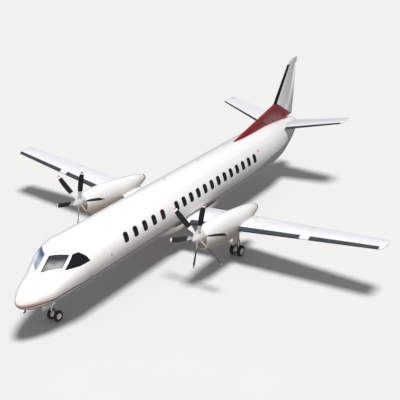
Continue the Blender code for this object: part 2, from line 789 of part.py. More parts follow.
def gear_door(name, x, low, high, seat):
    """A door plate that hangs from the edge of its bay."""
    door = block(name, (x - DOOR_PLATE / 2.0, low[0], low[1]),
                 (x + DOOR_PLATE / 2.0, high[0], high[1]))
    combine(door, seat, "DIFFERENCE")
    return door


def main_gear():
    """Main legs, doors and wheels."""
    x = NACELLE_X
    y = MAIN_AXLE_Y
    axle_z = MAIN_TYRE_RADIUS
    top = GEAR_BAY_HIGH[2] - GAP
    strut = ((0.0, top), (0.085, top), (0.085, 0.95), (0.055, 0.95), (0.055, axle_z),
             (0.0, axle_z))
    leg = turned("main_leg_left", strut, 14, Matrix.Translation((x, y, 0.0)), "steel")
    combine(leg, rod("main_hub", (x - 0.08, y, axle_z), (x + 0.08, y, axle_z), 0.08), "UNION")
    combine(leg, rod("main_brace", (x, y, 1.02), (x, y - 0.95, 1.74), 0.04, 10), "UNION")
    bore = axle_bore("main_bore", x, y, axle_z, MAIN_AXLE_RADIUS + AXLE_GAP)
    combine(leg, bore, "DIFFERENCE")
    mirrored(leg, "main_leg_right", "steel")
    for part, offset in (("outer", 0.335), ("inner", -0.335)):
        door = gear_door(f"main_door_{part}_left", x + offset, (-1.82, 1.10), (-1.15, 1.95),
                         nacelle_body(f"door_seat_{part}", GAP))
        mirrored(door, f"main_door_{part}_right")
    for side, side_name in ((1, "left"), (-1, "right")):
        wheel_pair("main_wheels_" + side_name, side * x, y, MAIN_TRACK, MAIN_TYRE_RADIUS,
                   MAIN_TYRE_WIDTH, MAIN_RIM_RADIUS, MAIN_AXLE_RADIUS)


NOSE_COLLAR_Z = 1.02


def nose_gear():
    """Nose leg, steering fork, doors and wheels."""
    y = NOSE_AXLE_Y
    axle_z = NOSE_TYRE_RADIUS
    leg = rod("nose_leg", (0, y, NOSE_COLLAR_Z), (0, y, NOSE_BAY_HIGH[2] - GAP), 0.075, 14)
    combine(leg, rod("nose_brace", (0, y, 1.15), (0, y - 0.70, 1.80), 0.035, 10), "UNION")
    top = NOSE_COLLAR_Z - SHAFT_GAP
    strut = ((0.0, top), (0.07, top), (0.07, 0.88), (0.045, 0.88), (0.045, axle_z),
             (0.0, axle_z))
    fork = turned("nose_fork", strut, 14, Matrix.Translation((0.0, y, 0.0)), "steel")
    combine(fork, rod("nose_hub", (-0.075, y, axle_z), (0.075, y, axle_z), 0.06), "UNION")
    bore = axle_bore("nose_bore", 0.0, y, axle_z, NOSE_AXLE_RADIUS + AXLE_GAP)
    combine(fork, bore, "DIFFERENCE")
    settled(fork)
    set_origin(fork, (0.0, y, NOSE_COLLAR_Z))
    for side, side_name in ((1, "left"), (-1, "right")):
        gear_door("nose_door_" + side_name, side * 0.265, (-12.35, 1.08), (-11.70, 1.70),
                  fuselage_body("nose_door_seat_" + side_name, GAP))
    wheel_pair("nose_wheels", 0.0, y, NOSE_TRACK, NOSE_TYRE_RADIUS, NOSE_TYRE_WIDTH,
               NOSE_RIM_RADIUS, NOSE_AXLE_RADIUS)


# z, leading edge y, trailing edge y, thickness ratio
FIN_SECTIONS = (
    (3.30, 1.55, 13.13, 0.033),
    (5.09, 10.50, 13.33, 0.115),
    (7.50, 12.34, 13.60, 0.115),
    (7.70, 12.51, 13.63, 0.105),
    (7.77, 12.66, 13.63, 0.05),
)
RUDDER_LOW_Z = 3.84
RUDDER_HIGH_Z = 7.40
RUDDER_END_GAP = 0.02
RUDDER_FOOT_REACH = 0.22
RUDDER_PART = 0.34
# Straight edges of the fin proper, as y at z = 0 and change in y per metre of height
FIN_LEADING = (6.61, 0.764)
FIN_TRAILING = (12.76, 0.112)
FIN_PLACE = Matrix(((0, 0, 1, 0), (0, 1, 0, 0), (1, 0, 0, 0), (0, 0, 0, 1)))


def fin_ratio(height):
    return 0.115


def fin_and_rudder(rear):
    """The fin with its long dorsal fillet, and the rudder."""
    sections = [(z, profile_ring(leading, trailing, ratio, 0.0))
                for z, leading, trailing, ratio in FIN_SECTIONS]
    fin = span_loft("fin", sections, FIN_PLACE, "red")
    cut_spans = (RUDDER_LOW_Z - 1.0, RUDDER_HIGH_Z + RUDDER_END_GAP)
    cut, _ = surface_sections(cut_spans, RUDDER_PART, FIN_LEADING, FIN_TRAILING, fin_ratio,
                              0.0, MOVING_GAP)
    combine(fin, span_loft("rudder_opening", cut, FIN_PLACE), "DIFFERENCE")
    combine(fin, fuselage_body("fin_seat", GAP), "DIFFERENCE")
    spans = (RUDDER_LOW_Z, RUDDER_HIGH_Z)
    shape, hinges = surface_sections(spans, RUDDER_PART, FIN_LEADING, FIN_TRAILING, fin_ratio,
                                     0.0, 0.0)
    rudder = span_loft("rudder", shape, FIN_PLACE, "red")
    ends = [FIN_PLACE @ Vector(hinge) for hinge in hinges]
    hinge = hinge_pins(rudder, (rear, fin), ends, (RUDDER_FOOT_REACH, PIN_REACH))
    settled(rudder)
    set_origin(rudder, hinge)


TAILPLANE_ROOT_X = 0.30
TAILPLANE_CENTRE_Z = 3.415
TAILPLANE_LEADING = (10.30, 0.25)
TAILPLANE_TRAILING = (12.86, -0.02)
TAILPLANE_RATIO = 0.11
ELEVATOR_PART = 0.36
ELEVATOR_SPANS = (0.80, 4.34)
TAILPLANE_PLACE = (Matrix.Translation((0.0, 0.0, TAILPLANE_CENTRE_Z))
                   @ Matrix.Rotation(-TAILPLANE_DIHEDRAL, 4, "Y"))
# span, thickness ratio, leading edge moved back, trailing edge moved forward
TAILPLANE_SECTIONS = (
    (TAILPLANE_ROOT_X, TAILPLANE_RATIO, 0.0, 0.0),
    (4.42, TAILPLANE_RATIO, 0.0, 0.0),
    (4.56, 0.09, 0.10, 0.03),
    (4.615, 0.04, 0.28, 0.08),
)


def tailplane_ratio(span):
    return TAILPLANE_RATIO


def tailplanes():
    """Both halves of the tailplane and their elevators."""
    sections = []
    for span, ratio, back, forward in TAILPLANE_SECTIONS:
        leading = edge_at(TAILPLANE_LEADING, span) + back
        trailing = edge_at(TAILPLANE_TRAILING, span) - forward
        sections.append((span, profile_ring(leading, trailing, ratio, 0.0)))
    plane = span_loft("tailplane_left", sections, TAILPLANE_PLACE)
    cut_spans = (ELEVATOR_SPANS[0] - END_GAP, ELEVATOR_SPANS[1] + END_GAP)
    cut, _ = surface_sections(cut_spans, ELEVATOR_PART, TAILPLANE_LEADING, TAILPLANE_TRAILING,
                              tailplane_ratio, 0.0, MOVING_GAP)
    combine(plane, span_loft("elevator_opening", cut, TAILPLANE_PLACE), "DIFFERENCE")
    combine(plane, fuselage_body("tailplane_seat", GAP), "DIFFERENCE")
    shape, hinges = surface_sections(ELEVATOR_SPANS, ELEVATOR_PART, TAILPLANE_LEADING,
                                     TAILPLANE_TRAILING, tailplane_ratio, 0.0, 0.0)
    elevator = span_loft("elevator_left", shape, TAILPLANE_PLACE)
    ends = [TAILPLANE_PLACE @ Vector(hinge) for hinge in hinges]
    hinge = hinge_pins(elevator, (plane, plane), ends)
    mirrored(plane, "tailplane_right")
    other = mirrored(elevator, "elevator_right")
    set_origin(elevator, hinge)
    set_origin(other, (-hinge.x, hinge.y, hinge.z))


# name, y
ANTENNAS = (("antenna_front", -2.10), ("antenna_rear", 1.30))


def antennas():
    """Blade antennas on top of the cabin."""
    for name, y in ANTENNAS:
        sections = ((CABIN_TOP - 0.05, y - 0.16, y + 0.16, 0.09),
                    (CABIN_TOP + 0.20, y, y + 0.17, 0.10))
        rings = [(z, profile_ring(low, high, ratio, 0.0)) for z, low, high, ratio in sections]
        antenna = span_loft(name, rings, FIN_PLACE)
        combine(antenna, fuselage_body(name + "_seat", GAP), "DIFFERENCE")


def main():
    clear_scene()
    front_and_openings()
    rear = rear_fuselage()
    wing_fairing()
    wings()
    nacelles()
    propeller("left", NACELLE_X)
    propeller("right", -NACELLE_X)
    main_gear()
    nose_gear()
    fin_and_rudder(rear)
    tailplanes()
    antennas()


main()
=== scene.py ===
"""Looks of a twin turboprop airliner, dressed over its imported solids.

Metres, +Z up. The nose points to -Y and the port side is +X.
"""
import math

import bmesh
import bpy
from mathutils import Matrix, Vector


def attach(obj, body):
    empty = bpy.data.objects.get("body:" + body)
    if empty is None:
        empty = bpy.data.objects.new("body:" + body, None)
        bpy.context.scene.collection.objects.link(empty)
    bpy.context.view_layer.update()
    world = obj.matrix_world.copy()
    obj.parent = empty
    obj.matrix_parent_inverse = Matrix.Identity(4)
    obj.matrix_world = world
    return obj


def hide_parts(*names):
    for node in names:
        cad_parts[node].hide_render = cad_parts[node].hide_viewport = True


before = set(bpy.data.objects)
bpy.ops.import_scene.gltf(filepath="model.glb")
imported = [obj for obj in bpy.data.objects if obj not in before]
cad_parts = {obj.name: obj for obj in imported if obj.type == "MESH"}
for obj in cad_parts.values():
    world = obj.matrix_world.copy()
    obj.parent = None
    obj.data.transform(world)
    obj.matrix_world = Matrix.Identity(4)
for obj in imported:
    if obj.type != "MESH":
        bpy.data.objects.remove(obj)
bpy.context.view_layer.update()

SIDES = (("left", 1), ("right", -1))

# Camera, floor and light

EYE = Vector((24.218, -35.608, 21.369))
EYE_AZIMUTH = math.radians(33.102)
EYE_ELEVATION = math.radians(24.095)
LENS = 73.13
SENSOR_WIDTH = 36.0
CLIP_START = 1.0
CLIP_END = 2000.0
SKY_COLOUR = (0.97, 0.97, 0.98, 1.0)
SKY_STRENGTH = 0.25
SUN_POWER = 3.0
SUN_ANGLE = math.radians(16.0)
SUN_COLOUR = (1.0, 0.995, 0.985)
SUN_BACK = Vector((0.16, 0.0, 1.0))
FLOOR_HALF = 600.0
FLOOR_GREYS = ((0.75, 0.75, 0.75), (0.765, 0.765, 0.765))
PANEL_POWER = 2700.0
PANEL_SIZE = 8.0
PANEL_COLOUR = (1.0, 0.955, 0.90)
PANEL_PLACE = Vector((8.0, -22.0, 14.0))
PANEL_AIM = Vector((1.0, -9.0, 2.6))


def stood(name, data, back, place=(0.0, 0.0, 0.0)):
    """A camera or lamp at a place, with its back turned one way."""
    made = bpy.data.objects.new(name, data)
    made.location = place
    made.rotation_euler = back.to_track_quat("Z", "Y").to_euler()
    bpy.context.scene.collection.objects.link(made)
    return made


def light(name, kind, power, colour, back, place=(0.0, 0.0, 0.0)):
    """A lamp that doesn't show in glossy surfaces."""
    lamp = bpy.data.lights.new(name, kind)
    lamp.energy = power
    lamp.color = colour
    made = stood(name, lamp, back, place)
    made.visible_glossy = False
    return made


def set_the_scene():
    """The photograph's viewpoint, a pale floor and soft light from above."""
    scene = bpy.context.scene
    eye = bpy.data.cameras.new("eye")
    eye.lens = LENS
    eye.sensor_width = SENSOR_WIDTH
    eye.clip_start = CLIP_START
    eye.clip_end = CLIP_END
    back = Vector((math.sin(EYE_AZIMUTH) * math.cos(EYE_ELEVATION),
                   -math.cos(EYE_AZIMUTH) * math.cos(EYE_ELEVATION),
                   math.sin(EYE_ELEVATION)))
    scene.camera = stood("eye", eye, back, EYE)
    scene.view_settings.view_transform = "Standard"

    world = bpy.data.worlds.new("studio")
    world.use_nodes = True
    sky = world.node_tree.nodes["Background"]
    sky.inputs["Color"].default_value = SKY_COLOUR
    sky.inputs["Strength"].default_value = SKY_STRENGTH
    scene.world = world
    sun = light("soft_sun", "SUN", SUN_POWER, SUN_COLOUR, SUN_BACK)
    sun.data.angle = SUN_ANGLE

    ground = bmesh.new()
    bmesh.ops.create_grid(ground, x_segments=1, y_segments=1, size=FLOOR_HALF)
    floor = plain_object("floor", ground)
    finish = Finish("floor_paint")
    grain = finish.noise(0.35, 4.0)
    finish.set("Base Color", finish.blend(*FLOOR_GREYS, grain))
    finish.set("Roughness", grain * 0.1 + 0.85)
    finish.set("Specular IOR Level", 0.1)
    floor.data.materials.append(finish.material)
    floor.visible_diffuse = False
    floor.visible_glossy = False

    # a soft panel off the port bow, for the aircraft alone
    panel = light("bow_panel", "AREA", PANEL_POWER, PANEL_COLOUR, PANEL_PLACE - PANEL_AIM,
                  PANEL_PLACE)
    panel.data.shape = "DISK"
    panel.data.size = PANEL_SIZE
    panel.data.use_shadow = False
    unlit = bpy.data.collections.new("bow_panel_leaves_out")
    unlit.objects.link(floor)
    unlit.collection_objects[0].light_linking.link_state = "EXCLUDE"
    panel.light_linking.receiver_collection = unlit


# Finishes

FINISHES = {}


def arithmetic(operation, swapped=False):
    """One kind of sum, product or the like of a level and another level or a number."""
    def apply(level, other):
        first, second = (other, level) if swapped else (level, other)
        return level.finish.maths(operation, first, second)
    return apply


class Level:
    """What a node gives, so that masks can be written as plain sums."""

    def __init__(self, finish, socket):
        self.finish = finish
        self.socket = socket

    __add__ = __radd__ = arithmetic("ADD")
    __sub__ = arithmetic("SUBTRACT")
    __rsub__ = arithmetic("SUBTRACT", True)
    __mul__ = __rmul__ = arithmetic("MULTIPLY")
    __truediv__ = arithmetic("DIVIDE")
    most = arithmetic("MAXIMUM")

    def held(self):
        """Kept between 0 and 1."""
        return self.finish.add("ShaderNodeClamp", {}, {"Value": self})

    def size(self):
        return self.finish.maths("ABSOLUTE", self)

    def rise(self, start, length):
        """0 up to a start, and 1 from a length above it."""
        return ((self - start) / length).held()

    def fall(self, start, length):
        """0 down to a start, and 1 from a length below it."""
        return ((start - self) / length).held()

    def above(self, edge, soft=0.002):
        """1 over an edge, 0 below it."""
        return ((self - edge) / soft + 0.5).held()

    def band(self, low, high, soft=0.004):
        """1 between two edges."""
        return self.above(low, soft) * (1.0 - self.above(high, soft))

    def repeat(self, pitch):
        """The distance to the nearest of a row of evenly spaced lines."""
        return self.finish.maths("PINGPONG", self, pitch / 2.0)

    def seams(self, pitch, width):
        return 1.0 - (self.repeat(pitch) / width).held()


class Finish:
    """A node material for one kind of surface, and the slot of the pieces that wear it."""

    def __init__(self, name, slot=None):
        self.material = bpy.data.materials.new(name)
        self.material.use_nodes = True
        self.slot = slot
        self.tree = self.material.node_tree
        self.shader = self.tree.nodes["Principled BSDF"]
        self.point = self.add("ShaderNodeTexCoord", {}, {}, "Object")
        self.x, self.y, self.z = (
            self.add("ShaderNodeSeparateXYZ", {}, {0: self.point}, axis) for axis in "XYZ")
        FINISHES[name] = self

    def feed(self, socket, value):
        """Link a socket to a level, or give it its value."""
        if isinstance(value, Level):
            self.tree.links.new(value.socket, socket)
        else:
            socket.default_value = (*value, 1.0) if socket.type == "RGBA" else value

    def add(self, kind, settings, inputs, output=0):
        """Any node: its settings first, then the values or links of its sockets."""
        node = self.tree.nodes.new(kind)
        for name, value in settings.items():
            setattr(node, name, value)
        for name, value in inputs.items():
            self.feed(node.inputs[name], value)
        return Level(self, node.outputs[output])

    def maths(self, operation, *values):
        return self.add("ShaderNodeMath", {"operation": operation}, dict(enumerate(values)))

    def set(self, name, value):
        """Give one of the shader's sockets its value or link."""
        self.feed(self.shader.inputs[name], value)

    def done(self, colour, rough, height, strength, distance):
        """The last three sockets: colour, roughness and small bumps."""
        self.set("Base Color", colour)
        self.set("Roughness", rough)
        self.set("Normal", self.add("ShaderNodeBump", {}, {
            "Strength": strength, "Distance": distance, "Height": height}))

    def blend(self, low, high, part):
        """A colour between two, by a level from 0 to 1."""
        return self.add("ShaderNodeMix", {"data_type": "RGBA"}, {0: part, 6: low, 7: high}, 2)

    def layers(self, colour, *coats):
        """A colour with others laid over it in turn, each where its level is 1."""
        for over, part in coats:
            colour = self.blend(colour, over, part)
        return colour

    def noise(self, scale, detail=3.0, stretch=(1.0, 1.0, 1.0)):
        place = self.add("ShaderNodeMapping", {}, {"Vector": self.point, "Scale": stretch})
        return self.add("ShaderNodeTexNoise", {}, {"Vector": place, "Scale": scale,
                                                   "Detail": detail}, "Fac")


WHITE = (0.855, 0.855, 0.865)
# painted warm shade for the lower flanks
PAINTED_WARM_SHADE = (0.86, 0.79, 0.765)
# white with a painted bluish sky tint
SKY_TINTED_WHITE = (0.82, 0.845, 0.885)
BELLY_GREY = (0.56, 0.54, 0.52)
STRIPE_GREY = (0.012, 0.010, 0.010)
STRIPE_BLUE = (0.075, 0.080, 0.105)
STRIPE_RED = (0.30, 0.085, 0.085)
STRIPE_PINK = (0.74, 0.50, 0.50)
TAIL_RED = (0.22, 0.003, 0.006)
SEAM_SHADE = (0.42, 0.42, 0.43)
GRIME = (0.50, 0.47, 0.43)
MARK_RED = (0.55, 0.03, 0.03)
WARM_RED = (0.27, 0.006, 0.010)
# painted warm shade for the lower half of the nacelles
PAINTED_NACELLE_SHADE = (0.62, 0.52, 0.44)
BLADE_BLACK = (0.006, 0.006, 0.007)
WORN_BLACK = (0.022, 0.022, 0.024)
BLADE_CUFF = (0.62, 0.62, 0.63)
BLADE_WHITE = (0.86, 0.86, 0.86)
BLADE_RED = (0.58, 0.10, 0.08)


def painted(finish, colour, seams, dirt, coat=0.6):
    """Gloss paint over riveted sheet: seams and dirt are levels from 0 to 1."""
    patch = finish.noise(0.9, 5.0)
    fine = finish.noise(60.0, 2.0)
    colour = finish.layers(colour, (GRIME, (dirt * (patch * 0.8 + 0.3)).held()),
                           (SEAM_SHADE, seams * 0.55))
    finish.set("Coat Weight", (coat - dirt * 0.5 - seams * 0.3).held())
    finish.set("Coat Roughness", 0.08)
    finish.done(colour, patch * 0.12 + dirt * 0.3 + seams * 0.2 + 0.20, fine * 0.04 - seams,
                0.35, 0.003)


def rivets(along, across, pitch, radius):
    """Rows of small round heads where two rows of lines cross."""
    near = along.repeat(pitch)
    beside = across.repeat(pitch)
    return 1.0 - ((near * near + beside * beside) / (radius * radius)).held()


def fuselage_paint():
    """White above a grey belly, with thin lines that rise at the nose and the tail."""
    finish = Finish("fuselage_paint", "paint_white")
    y, z = finish.y, finish.z
    aft = y.rise(5.2, 3.2) * 0.50 + y.rise(9.0, 4.3) * 0.52
    height = z - (y.rise(-12.05, 0.95) * 0.20 + aft + 1.61)
    keel = z - (y.rise(-11.40, 0.45) * 0.24 + aft + 1.57)
    bow = 1.0 - y.rise(-12.9, 0.6)
    dark = finish.blend(STRIPE_GREY, STRIPE_BLUE, y.rise(3.0, 3.0))
    # painted light: the grey belly turns pale under the tail, where the tailplane's shadow falls
    belly = finish.blend(BELLY_GREY, SKY_TINTED_WHITE, y.rise(9.0, 1.5))
    square = y.band(6.285, 6.455) * z.band(3.308, 3.458)
    inside = y.band(6.325, 6.415) * z.band(3.343, 3.423)
    colour = finish.layers(
        WHITE,
        # painted warm shade on the lower flanks, fading out towards the tail
        (PAINTED_WARM_SHADE, z.fall(2.80, 0.9) * y.fall(9.5, 3.0)),
        (STRIPE_PINK, height.band(0.24, 0.37, 0.02) * bow * 0.6),
        (STRIPE_RED, height.band(0.352, 0.382) * bow),
        (finish.blend(dark, STRIPE_RED, bow), height.band(0.205, 0.300)),
        (dark, keel.band(0.0, 0.085)),
        (belly, 1.0 - keel.above(0.0, 0.004)),
        (MARK_RED, (square - inside).held() * finish.x.above(0.0)))
    # frames every 2.13 m and lap joints at three heights
    frames = (y + 0.42).seams(2.13, 0.007)
    laps = z.band(3.635, 3.645).most(z.band(2.485, 2.495)).most(z.band(1.56, 1.57))
    heads = rivets(y, z, 0.071, 0.006) * 0.25
    seams = (frames.most(laps).most(heads) * y.band(-11.9, 12.4, 0.01)).held()
    radome = (y + 12.78).seams(40.0, 0.009)
    streak = finish.noise(1.6, 4.0, (1.0, 0.12, 1.0))
    low = 1.0 - z.rise(1.3, 1.6)
    painted(finish, colour, seams.most(radome), (low * low * streak * 0.75 + 0.02).held())


def wing_paint(name, chordwise, spanwise):
    """White sheet with a painted bluish sky tint, ribs across, joints along it and faint
    streaks.
    """
    finish = Finish(name, "paint_white")
    across = finish.x.size()
    ribs = across.seams(chordwise, 0.006)
    joints = (finish.y - across * 0.03 + 0.12).seams(spanwise, 0.006)
    heads = rivets(across, finish.y, 0.062, 0.005) * 0.22
    streak = finish.noise(1.3, 4.0, (1.0, 0.2, 1.0))
    painted(finish, SKY_TINTED_WHITE, ribs.most(joints).most(heads), (streak * 0.16 - 0.03).held())


def nacelle_paint():
    """White cowl panels with seams and rivets, sooty by the exhaust, with painted warm shade on
    the lower half.
    """
    finish = Finish("nacelle_paint", "paint_white")
    y, z = finish.y, finish.z
    splits = (y + 0.02).seams(0.415, 0.009)
    edges = z.band(2.56, 2.575).most(z.band(1.92, 1.935))
    heads = rivets(y, z, 0.055, 0.005) * 0.25
    soot = y.rise(0.55, 0.6) * (finish.noise(4.0, 4.0) * 0.9)
    low = 1.0 - z.rise(1.45, 1.15)
    streak = finish.noise(2.4, 4.0, (1.0, 0.15, 1.0))
    # painted warm shade over the lower half of the cowl
    painted(finish, finish.blend(WHITE, PAINTED_NACELLE_SHADE, z.fall(2.62, 0.5)),
            splits.most(edges).most(heads), (soot * 0.6 + low * streak * 0.9 + 0.02).held())


def tail_paint():
    """A red foot under a slanting edge, and white above it."""
    finish = Finish("tail_paint", "paint_red")
    y, z = finish.y, finish.z
    edge = z - (5.2 + (y - 10.6) * -0.5455)
    reds = finish.blend(TAIL_RED, WARM_RED, finish.noise(0.8, 3.0))
    ribs = (z - y * 0.12).seams(0.62, 0.006)
    heads = rivets(y, z, 0.062, 0.005) * 0.2
    finish.set("Specular IOR Level", 0.3)
    painted(finish, finish.blend(WHITE, reds, 1.0 - edge.above(0.0, 0.008)),
            ribs.most(heads) * 0.5,
            (finish.noise(1.2, 4.0, (1.0, 0.3, 1.0)) * 0.14 - 0.03).held(), 0.15)


def boot_rubber(name, clean, dusty):
    """De-icing rubber over its inflatable tubes, with dust on it."""
    finish = Finish(name, "blade_black")
    dust = finish.noise(3.0, 5.0)
    fine = finish.noise(90.0, 2.0)
    tubes = finish.x.seams(0.15, 0.05)
    finish.done(finish.blend(clean, dusty, dust), dust * 0.2 + 0.38, fine * 0.1 + tubes * 0.5,
                0.3, 0.002)


def blade_paint():
    """Black blades with a pale cuff, a white band and a red tip."""
    finish = Finish("blade_paint", "blade_black")
    x = finish.x.size() - NACELLE_X
    z = finish.z - THRUST_Z
    reach = finish.maths("SQRT", x * x + z * z)
    worn = finish.noise(14.0, 5.0)
    finish.set("Coat Weight", 0.3)
    finish.done(finish.layers(BLADE_BLACK, (WORN_BLACK, worn * worn),
                              (BLADE_CUFF, 1.0 - reach.above(0.70, 0.01)),
                              (BLADE_WHITE, reach.above(1.765, 0.006)),
                              (BLADE_RED, reach.above(1.862, 0.006))),
                worn * 0.25 + 0.25, worn, 0.15, 0.001)


# name, slot, light, dark, roughness, scale of the smears, share of bare metal
METALS = (
    ("spinner_paint", "paint_white", (0.80, 0.80, 0.81), (0.66, 0.66, 0.67), 0.18, 3.0, 0.35),
    ("fitting_steel", "gear_steel", (0.50, 0.50, 0.51), (0.30, 0.30, 0.31), 0.30, 8.0, 1.0),
    ("slider_chrome", "gear_steel", (0.78, 0.78, 0.80), (0.60, 0.60, 0.62), 0.08, 8.0, 1.0),
    ("rim_paint", "rim_metal", (0.74, 0.74, 0.74), (0.45, 0.44, 0.42), 0.35, 6.0, 0.3),
    ("leg_paint", "gear_steel", (0.62, 0.62, 0.62), (0.36, 0.35, 0.33), 0.40, 5.0, 0.1),
    ("dark_metal", "blade_black", (0.06, 0.06, 0.062), (0.02, 0.02, 0.02), 0.45, 6.0, 0.4),
    ("engine_casing", None, (0.30, 0.29, 0.28), (0.12, 0.12, 0.12), 0.45, 8.0, 1.0),
    ("intake_paint", "engine_metal", (0.46, 0.40, 0.35), (0.20, 0.17, 0.15), 0.5, 5.0, 0.2),
)


def metal(name, slot, light, dark, rough, scale, shine):
    """Bare, plated or painted metal with smears and fine scratches."""
    finish = Finish(name, slot)
    smear = finish.noise(scale, 5.0)
    finish.set("Metallic", shine)
    finish.done(finish.blend(dark, light, smear), smear * 0.2 + rough,
                finish.noise(scale * 25.0, 2.0), 0.12, 0.0008)


def exhaust_metal():
    """Heat-stained pipe in patches of brown and blue, sooty towards its end."""
    finish = Finish("exhaust_metal", "exhaust_metal")
    heat = finish.noise(6.0, 4.0)
    soot = finish.y.rise(0.95, 0.25)
    finish.set("Metallic", 0.9)
    finish.done(finish.layers((0.20, 0.16, 0.13), ((0.10, 0.11, 0.16), heat),
                              ((0.02, 0.018, 0.016), soot * 0.8)),
                heat * 0.2 + soot * 0.3 + 0.35, finish.noise(70.0, 2.0), 0.15, 0.001)


def rubber(name, slot, dusty, clean, rough):
    """Tyre and seal rubber with dust in its grain."""
    finish = Finish(name, slot)
    dust = finish.noise(9.0, 6.0)
    finish.done(finish.blend(clean, dusty, dust * dust), dust * 0.15 + rough,
                finish.noise(160.0, 2.0), 0.2, 0.0008)


def pane_glass(name, dark, light, rough):
    """Near-black pane, painted shade of the dark cabin behind it, with faint smears."""
    finish = Finish(name, "glazing")
    smear = finish.noise(2.5, 4.0)
    finish.set("IOR", 1.35)
    finish.done(finish.blend(dark, light, smear), smear * 0.05 + rough, smear, 0.05, 0.001)


def windscreen_glass():
    """Dark at the top for the shaded cockpit behind it, with a painted sky reflection low down,
    a painted glint in its lower outboard corner, and painted blue and pale reflections on the
    starboard pane.
    """
    finish = Finish("windscreen_glass", "glazing")
    x, z = finish.x, finish.z
    smear = finish.noise(3.0, 4.0)
    # painted sky reflection low on the port pane
    low = z.fall(3.52, 0.24) * x.rise(0.12, 0.2) * x.fall(0.94, 0.12)
    # painted glint in the pane's lower outboard corner
    corner = x.rise(0.60, 0.14) * x.fall(0.93, 0.07) * z.fall(3.44, 0.12)
    # painted pale and blue reflections on the starboard pane
    painted_pale_reflection = x.fall(-0.42, 0.30) * z.fall(3.62, 0.2)
    painted_blue_reflection = finish.layers((0.27, 0.33, 0.42), ((0.060, 0.09, 0.24), z.rise(3.36, 0.20)),
                         ((0.74, 0.79, 0.86), painted_pale_reflection))
    # near-black base: painted shade of the cockpit behind the glass
    colour = finish.layers((0.028, 0.030, 0.036),
                           ((0.29, 0.31, 0.32), low * (smear * 0.8 + 0.45)),
                           ((0.27, 0.275, 0.26), corner * 0.7),
                           (painted_blue_reflection, (0.0 - x).above(0.0)))
    finish.set("IOR", 1.45)
    finish.done(colour, smear * 0.05 + 0.06, smear, 0.05, 0.001)


def lamp_glass(name, colour):
    finish = Finish(name, "glazing")
    ribs = (finish.x + finish.y).seams(0.02, 0.006)
    finish.set("Coat Weight", 1.0)
    finish.done(finish.blend(colour, tuple(part * 0.6 for part in colour), ribs),
                ribs * 0.2 + 0.08, ribs, 0.2, 0.001)


def bay_paint():
    """Pale primer inside the wheel bays, grimy in patches."""
    finish = Finish("bay_paint", "gear_steel")
    grime = finish.noise(5.0, 5.0)
    finish.done(finish.blend((0.34, 0.36, 0.32), (0.12, 0.12, 0.11), grime * grime),
                grime * 0.3 + 0.5, grime, 0.2, 0.002)


def make_finishes():
    """Every finish of the aircraft, for the pieces to name."""
    fuselage_paint()
    wing_paint("wing_paint", 0.92, 0.55)
    wing_paint("tailplane_paint", 0.70, 0.45)
    nacelle_paint()
    tail_paint()
    boot_rubber("boot_rubber", (0.030, 0.036, 0.045), (0.075, 0.085, 0.10))
    boot_rubber("fin_boot_rubber", (0.002, 0.002, 0.002), (0.010, 0.010, 0.011))
    blade_paint()
    for row in METALS:
        metal(*row)
    exhaust_metal()
    rubber("tyre_rubber", "tyre_rubber", (0.045, 0.042, 0.038), (0.006, 0.006, 0.006), 0.7)
    rubber("seal_rubber", "blade_black", (0.10, 0.10, 0.10), (0.03, 0.03, 0.03), 0.5)
    pane_glass("cabin_glass", (0.003, 0.003, 0.004), (0.012, 0.012, 0.014), 0.16)
    pane_glass("side_window_glass", (0.004, 0.004, 0.005), (0.014, 0.014, 0.017), 0.10)
    windscreen_glass()
    bay_paint()
    lamp_glass("red_lamp", (0.60, 0.02, 0.02))
    lamp_glass("green_lamp", (0.02, 0.40, 0.12))
    lamp_glass("clear_lamp", (0.75, 0.76, 0.78))


# Shapes


def circle(sides):
    shape = bmesh.new()
    bmesh.ops.create_circle(shape, segments=sides, radius=1.0)
    return shape


def plain_object(name, shape):
    bmesh.ops.recalc_face_normals(shape, faces=shape.faces)
    mesh = bpy.data.meshes.new(name)
    shape.to_mesh(mesh)
    shape.free()
    made = bpy.data.objects.new(name, mesh)
    bpy.context.scene.collection.objects.link(made)
    return made


# degrees between faces that meet in a sharp edge
SKIN_ANGLE = 30.0
TRIM_ANGLE = 32.0
BLADE_ANGLE = 40.0


def piece(name, shape, coat, *replaces, body="airframe", slot=None, sharp=None):
    """A finished piece that rides on a body and stands for the nodes that it replaces."""
    bmesh.ops.remove_doubles(shape, verts=shape.verts, dist=0.00002)
    made = plain_object(name, shape)
    made.data.shade_smooth()
    angle = sharp or (SKIN_ANGLE if replaces else TRIM_ANGLE)
    made.data.set_sharp_from_angle(angle=math.radians(angle))
    made.data.materials.append(FINISHES[coat].material)
    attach(made, body)
    if replaces:
        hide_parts(*replaces)


def pair(name, shape, coat, *replaces, body="airframe"):
    """A piece to port and its mirror image to starboard, with the side's name for {}."""
    for side_name, side in SIDES:
        piece(name.format(side_name), sided(shape.copy(), side), coat,
              *(node.format(side_name) for node in replaces), body=body.format(side_name))
    shape.free()


def softened(shape, geom, offset, segments=2, affect="EDGES"):
    """Bevel edges, or corners where asked for, in round steps."""
    bmesh.ops.bevel(shape, geom=geom, offset=offset, affect=affect, segments=segments,
                    profile=0.5, material=-1)


def raised(shape, way):
    """Draw the faces of a flat shape out along a vector."""
    grown = bmesh.ops.extrude_face_region(shape, geom=shape.faces[:])["geom"]
    top = [item for item in grown if isinstance(item, bmesh.types.BMVert)]
    bmesh.ops.translate(shape, vec=way, verts=top)
    return shape


def joined(*shapes):
    """One bmesh of several, which are used up."""
    whole = bmesh.new()
    for shape in shapes:
        part = bpy.data.meshes.new("part")
        shape.to_mesh(part)
        shape.free()
        whole.from_mesh(part)
        bpy.data.meshes.remove(part)
    return whole


def placed(shape, place):
    bmesh.ops.transform(shape, matrix=place, verts=shape.verts)
    return shape


def sided(shape, side):
    """The shape itself for port, and its mirror image for starboard."""
    if side < 0:
        bmesh.ops.scale(shape, vec=(-1.0, 1.0, 1.0), verts=shape.verts)
        bmesh.ops.recalc_face_normals(shape, faces=shape.faces)
    return shape


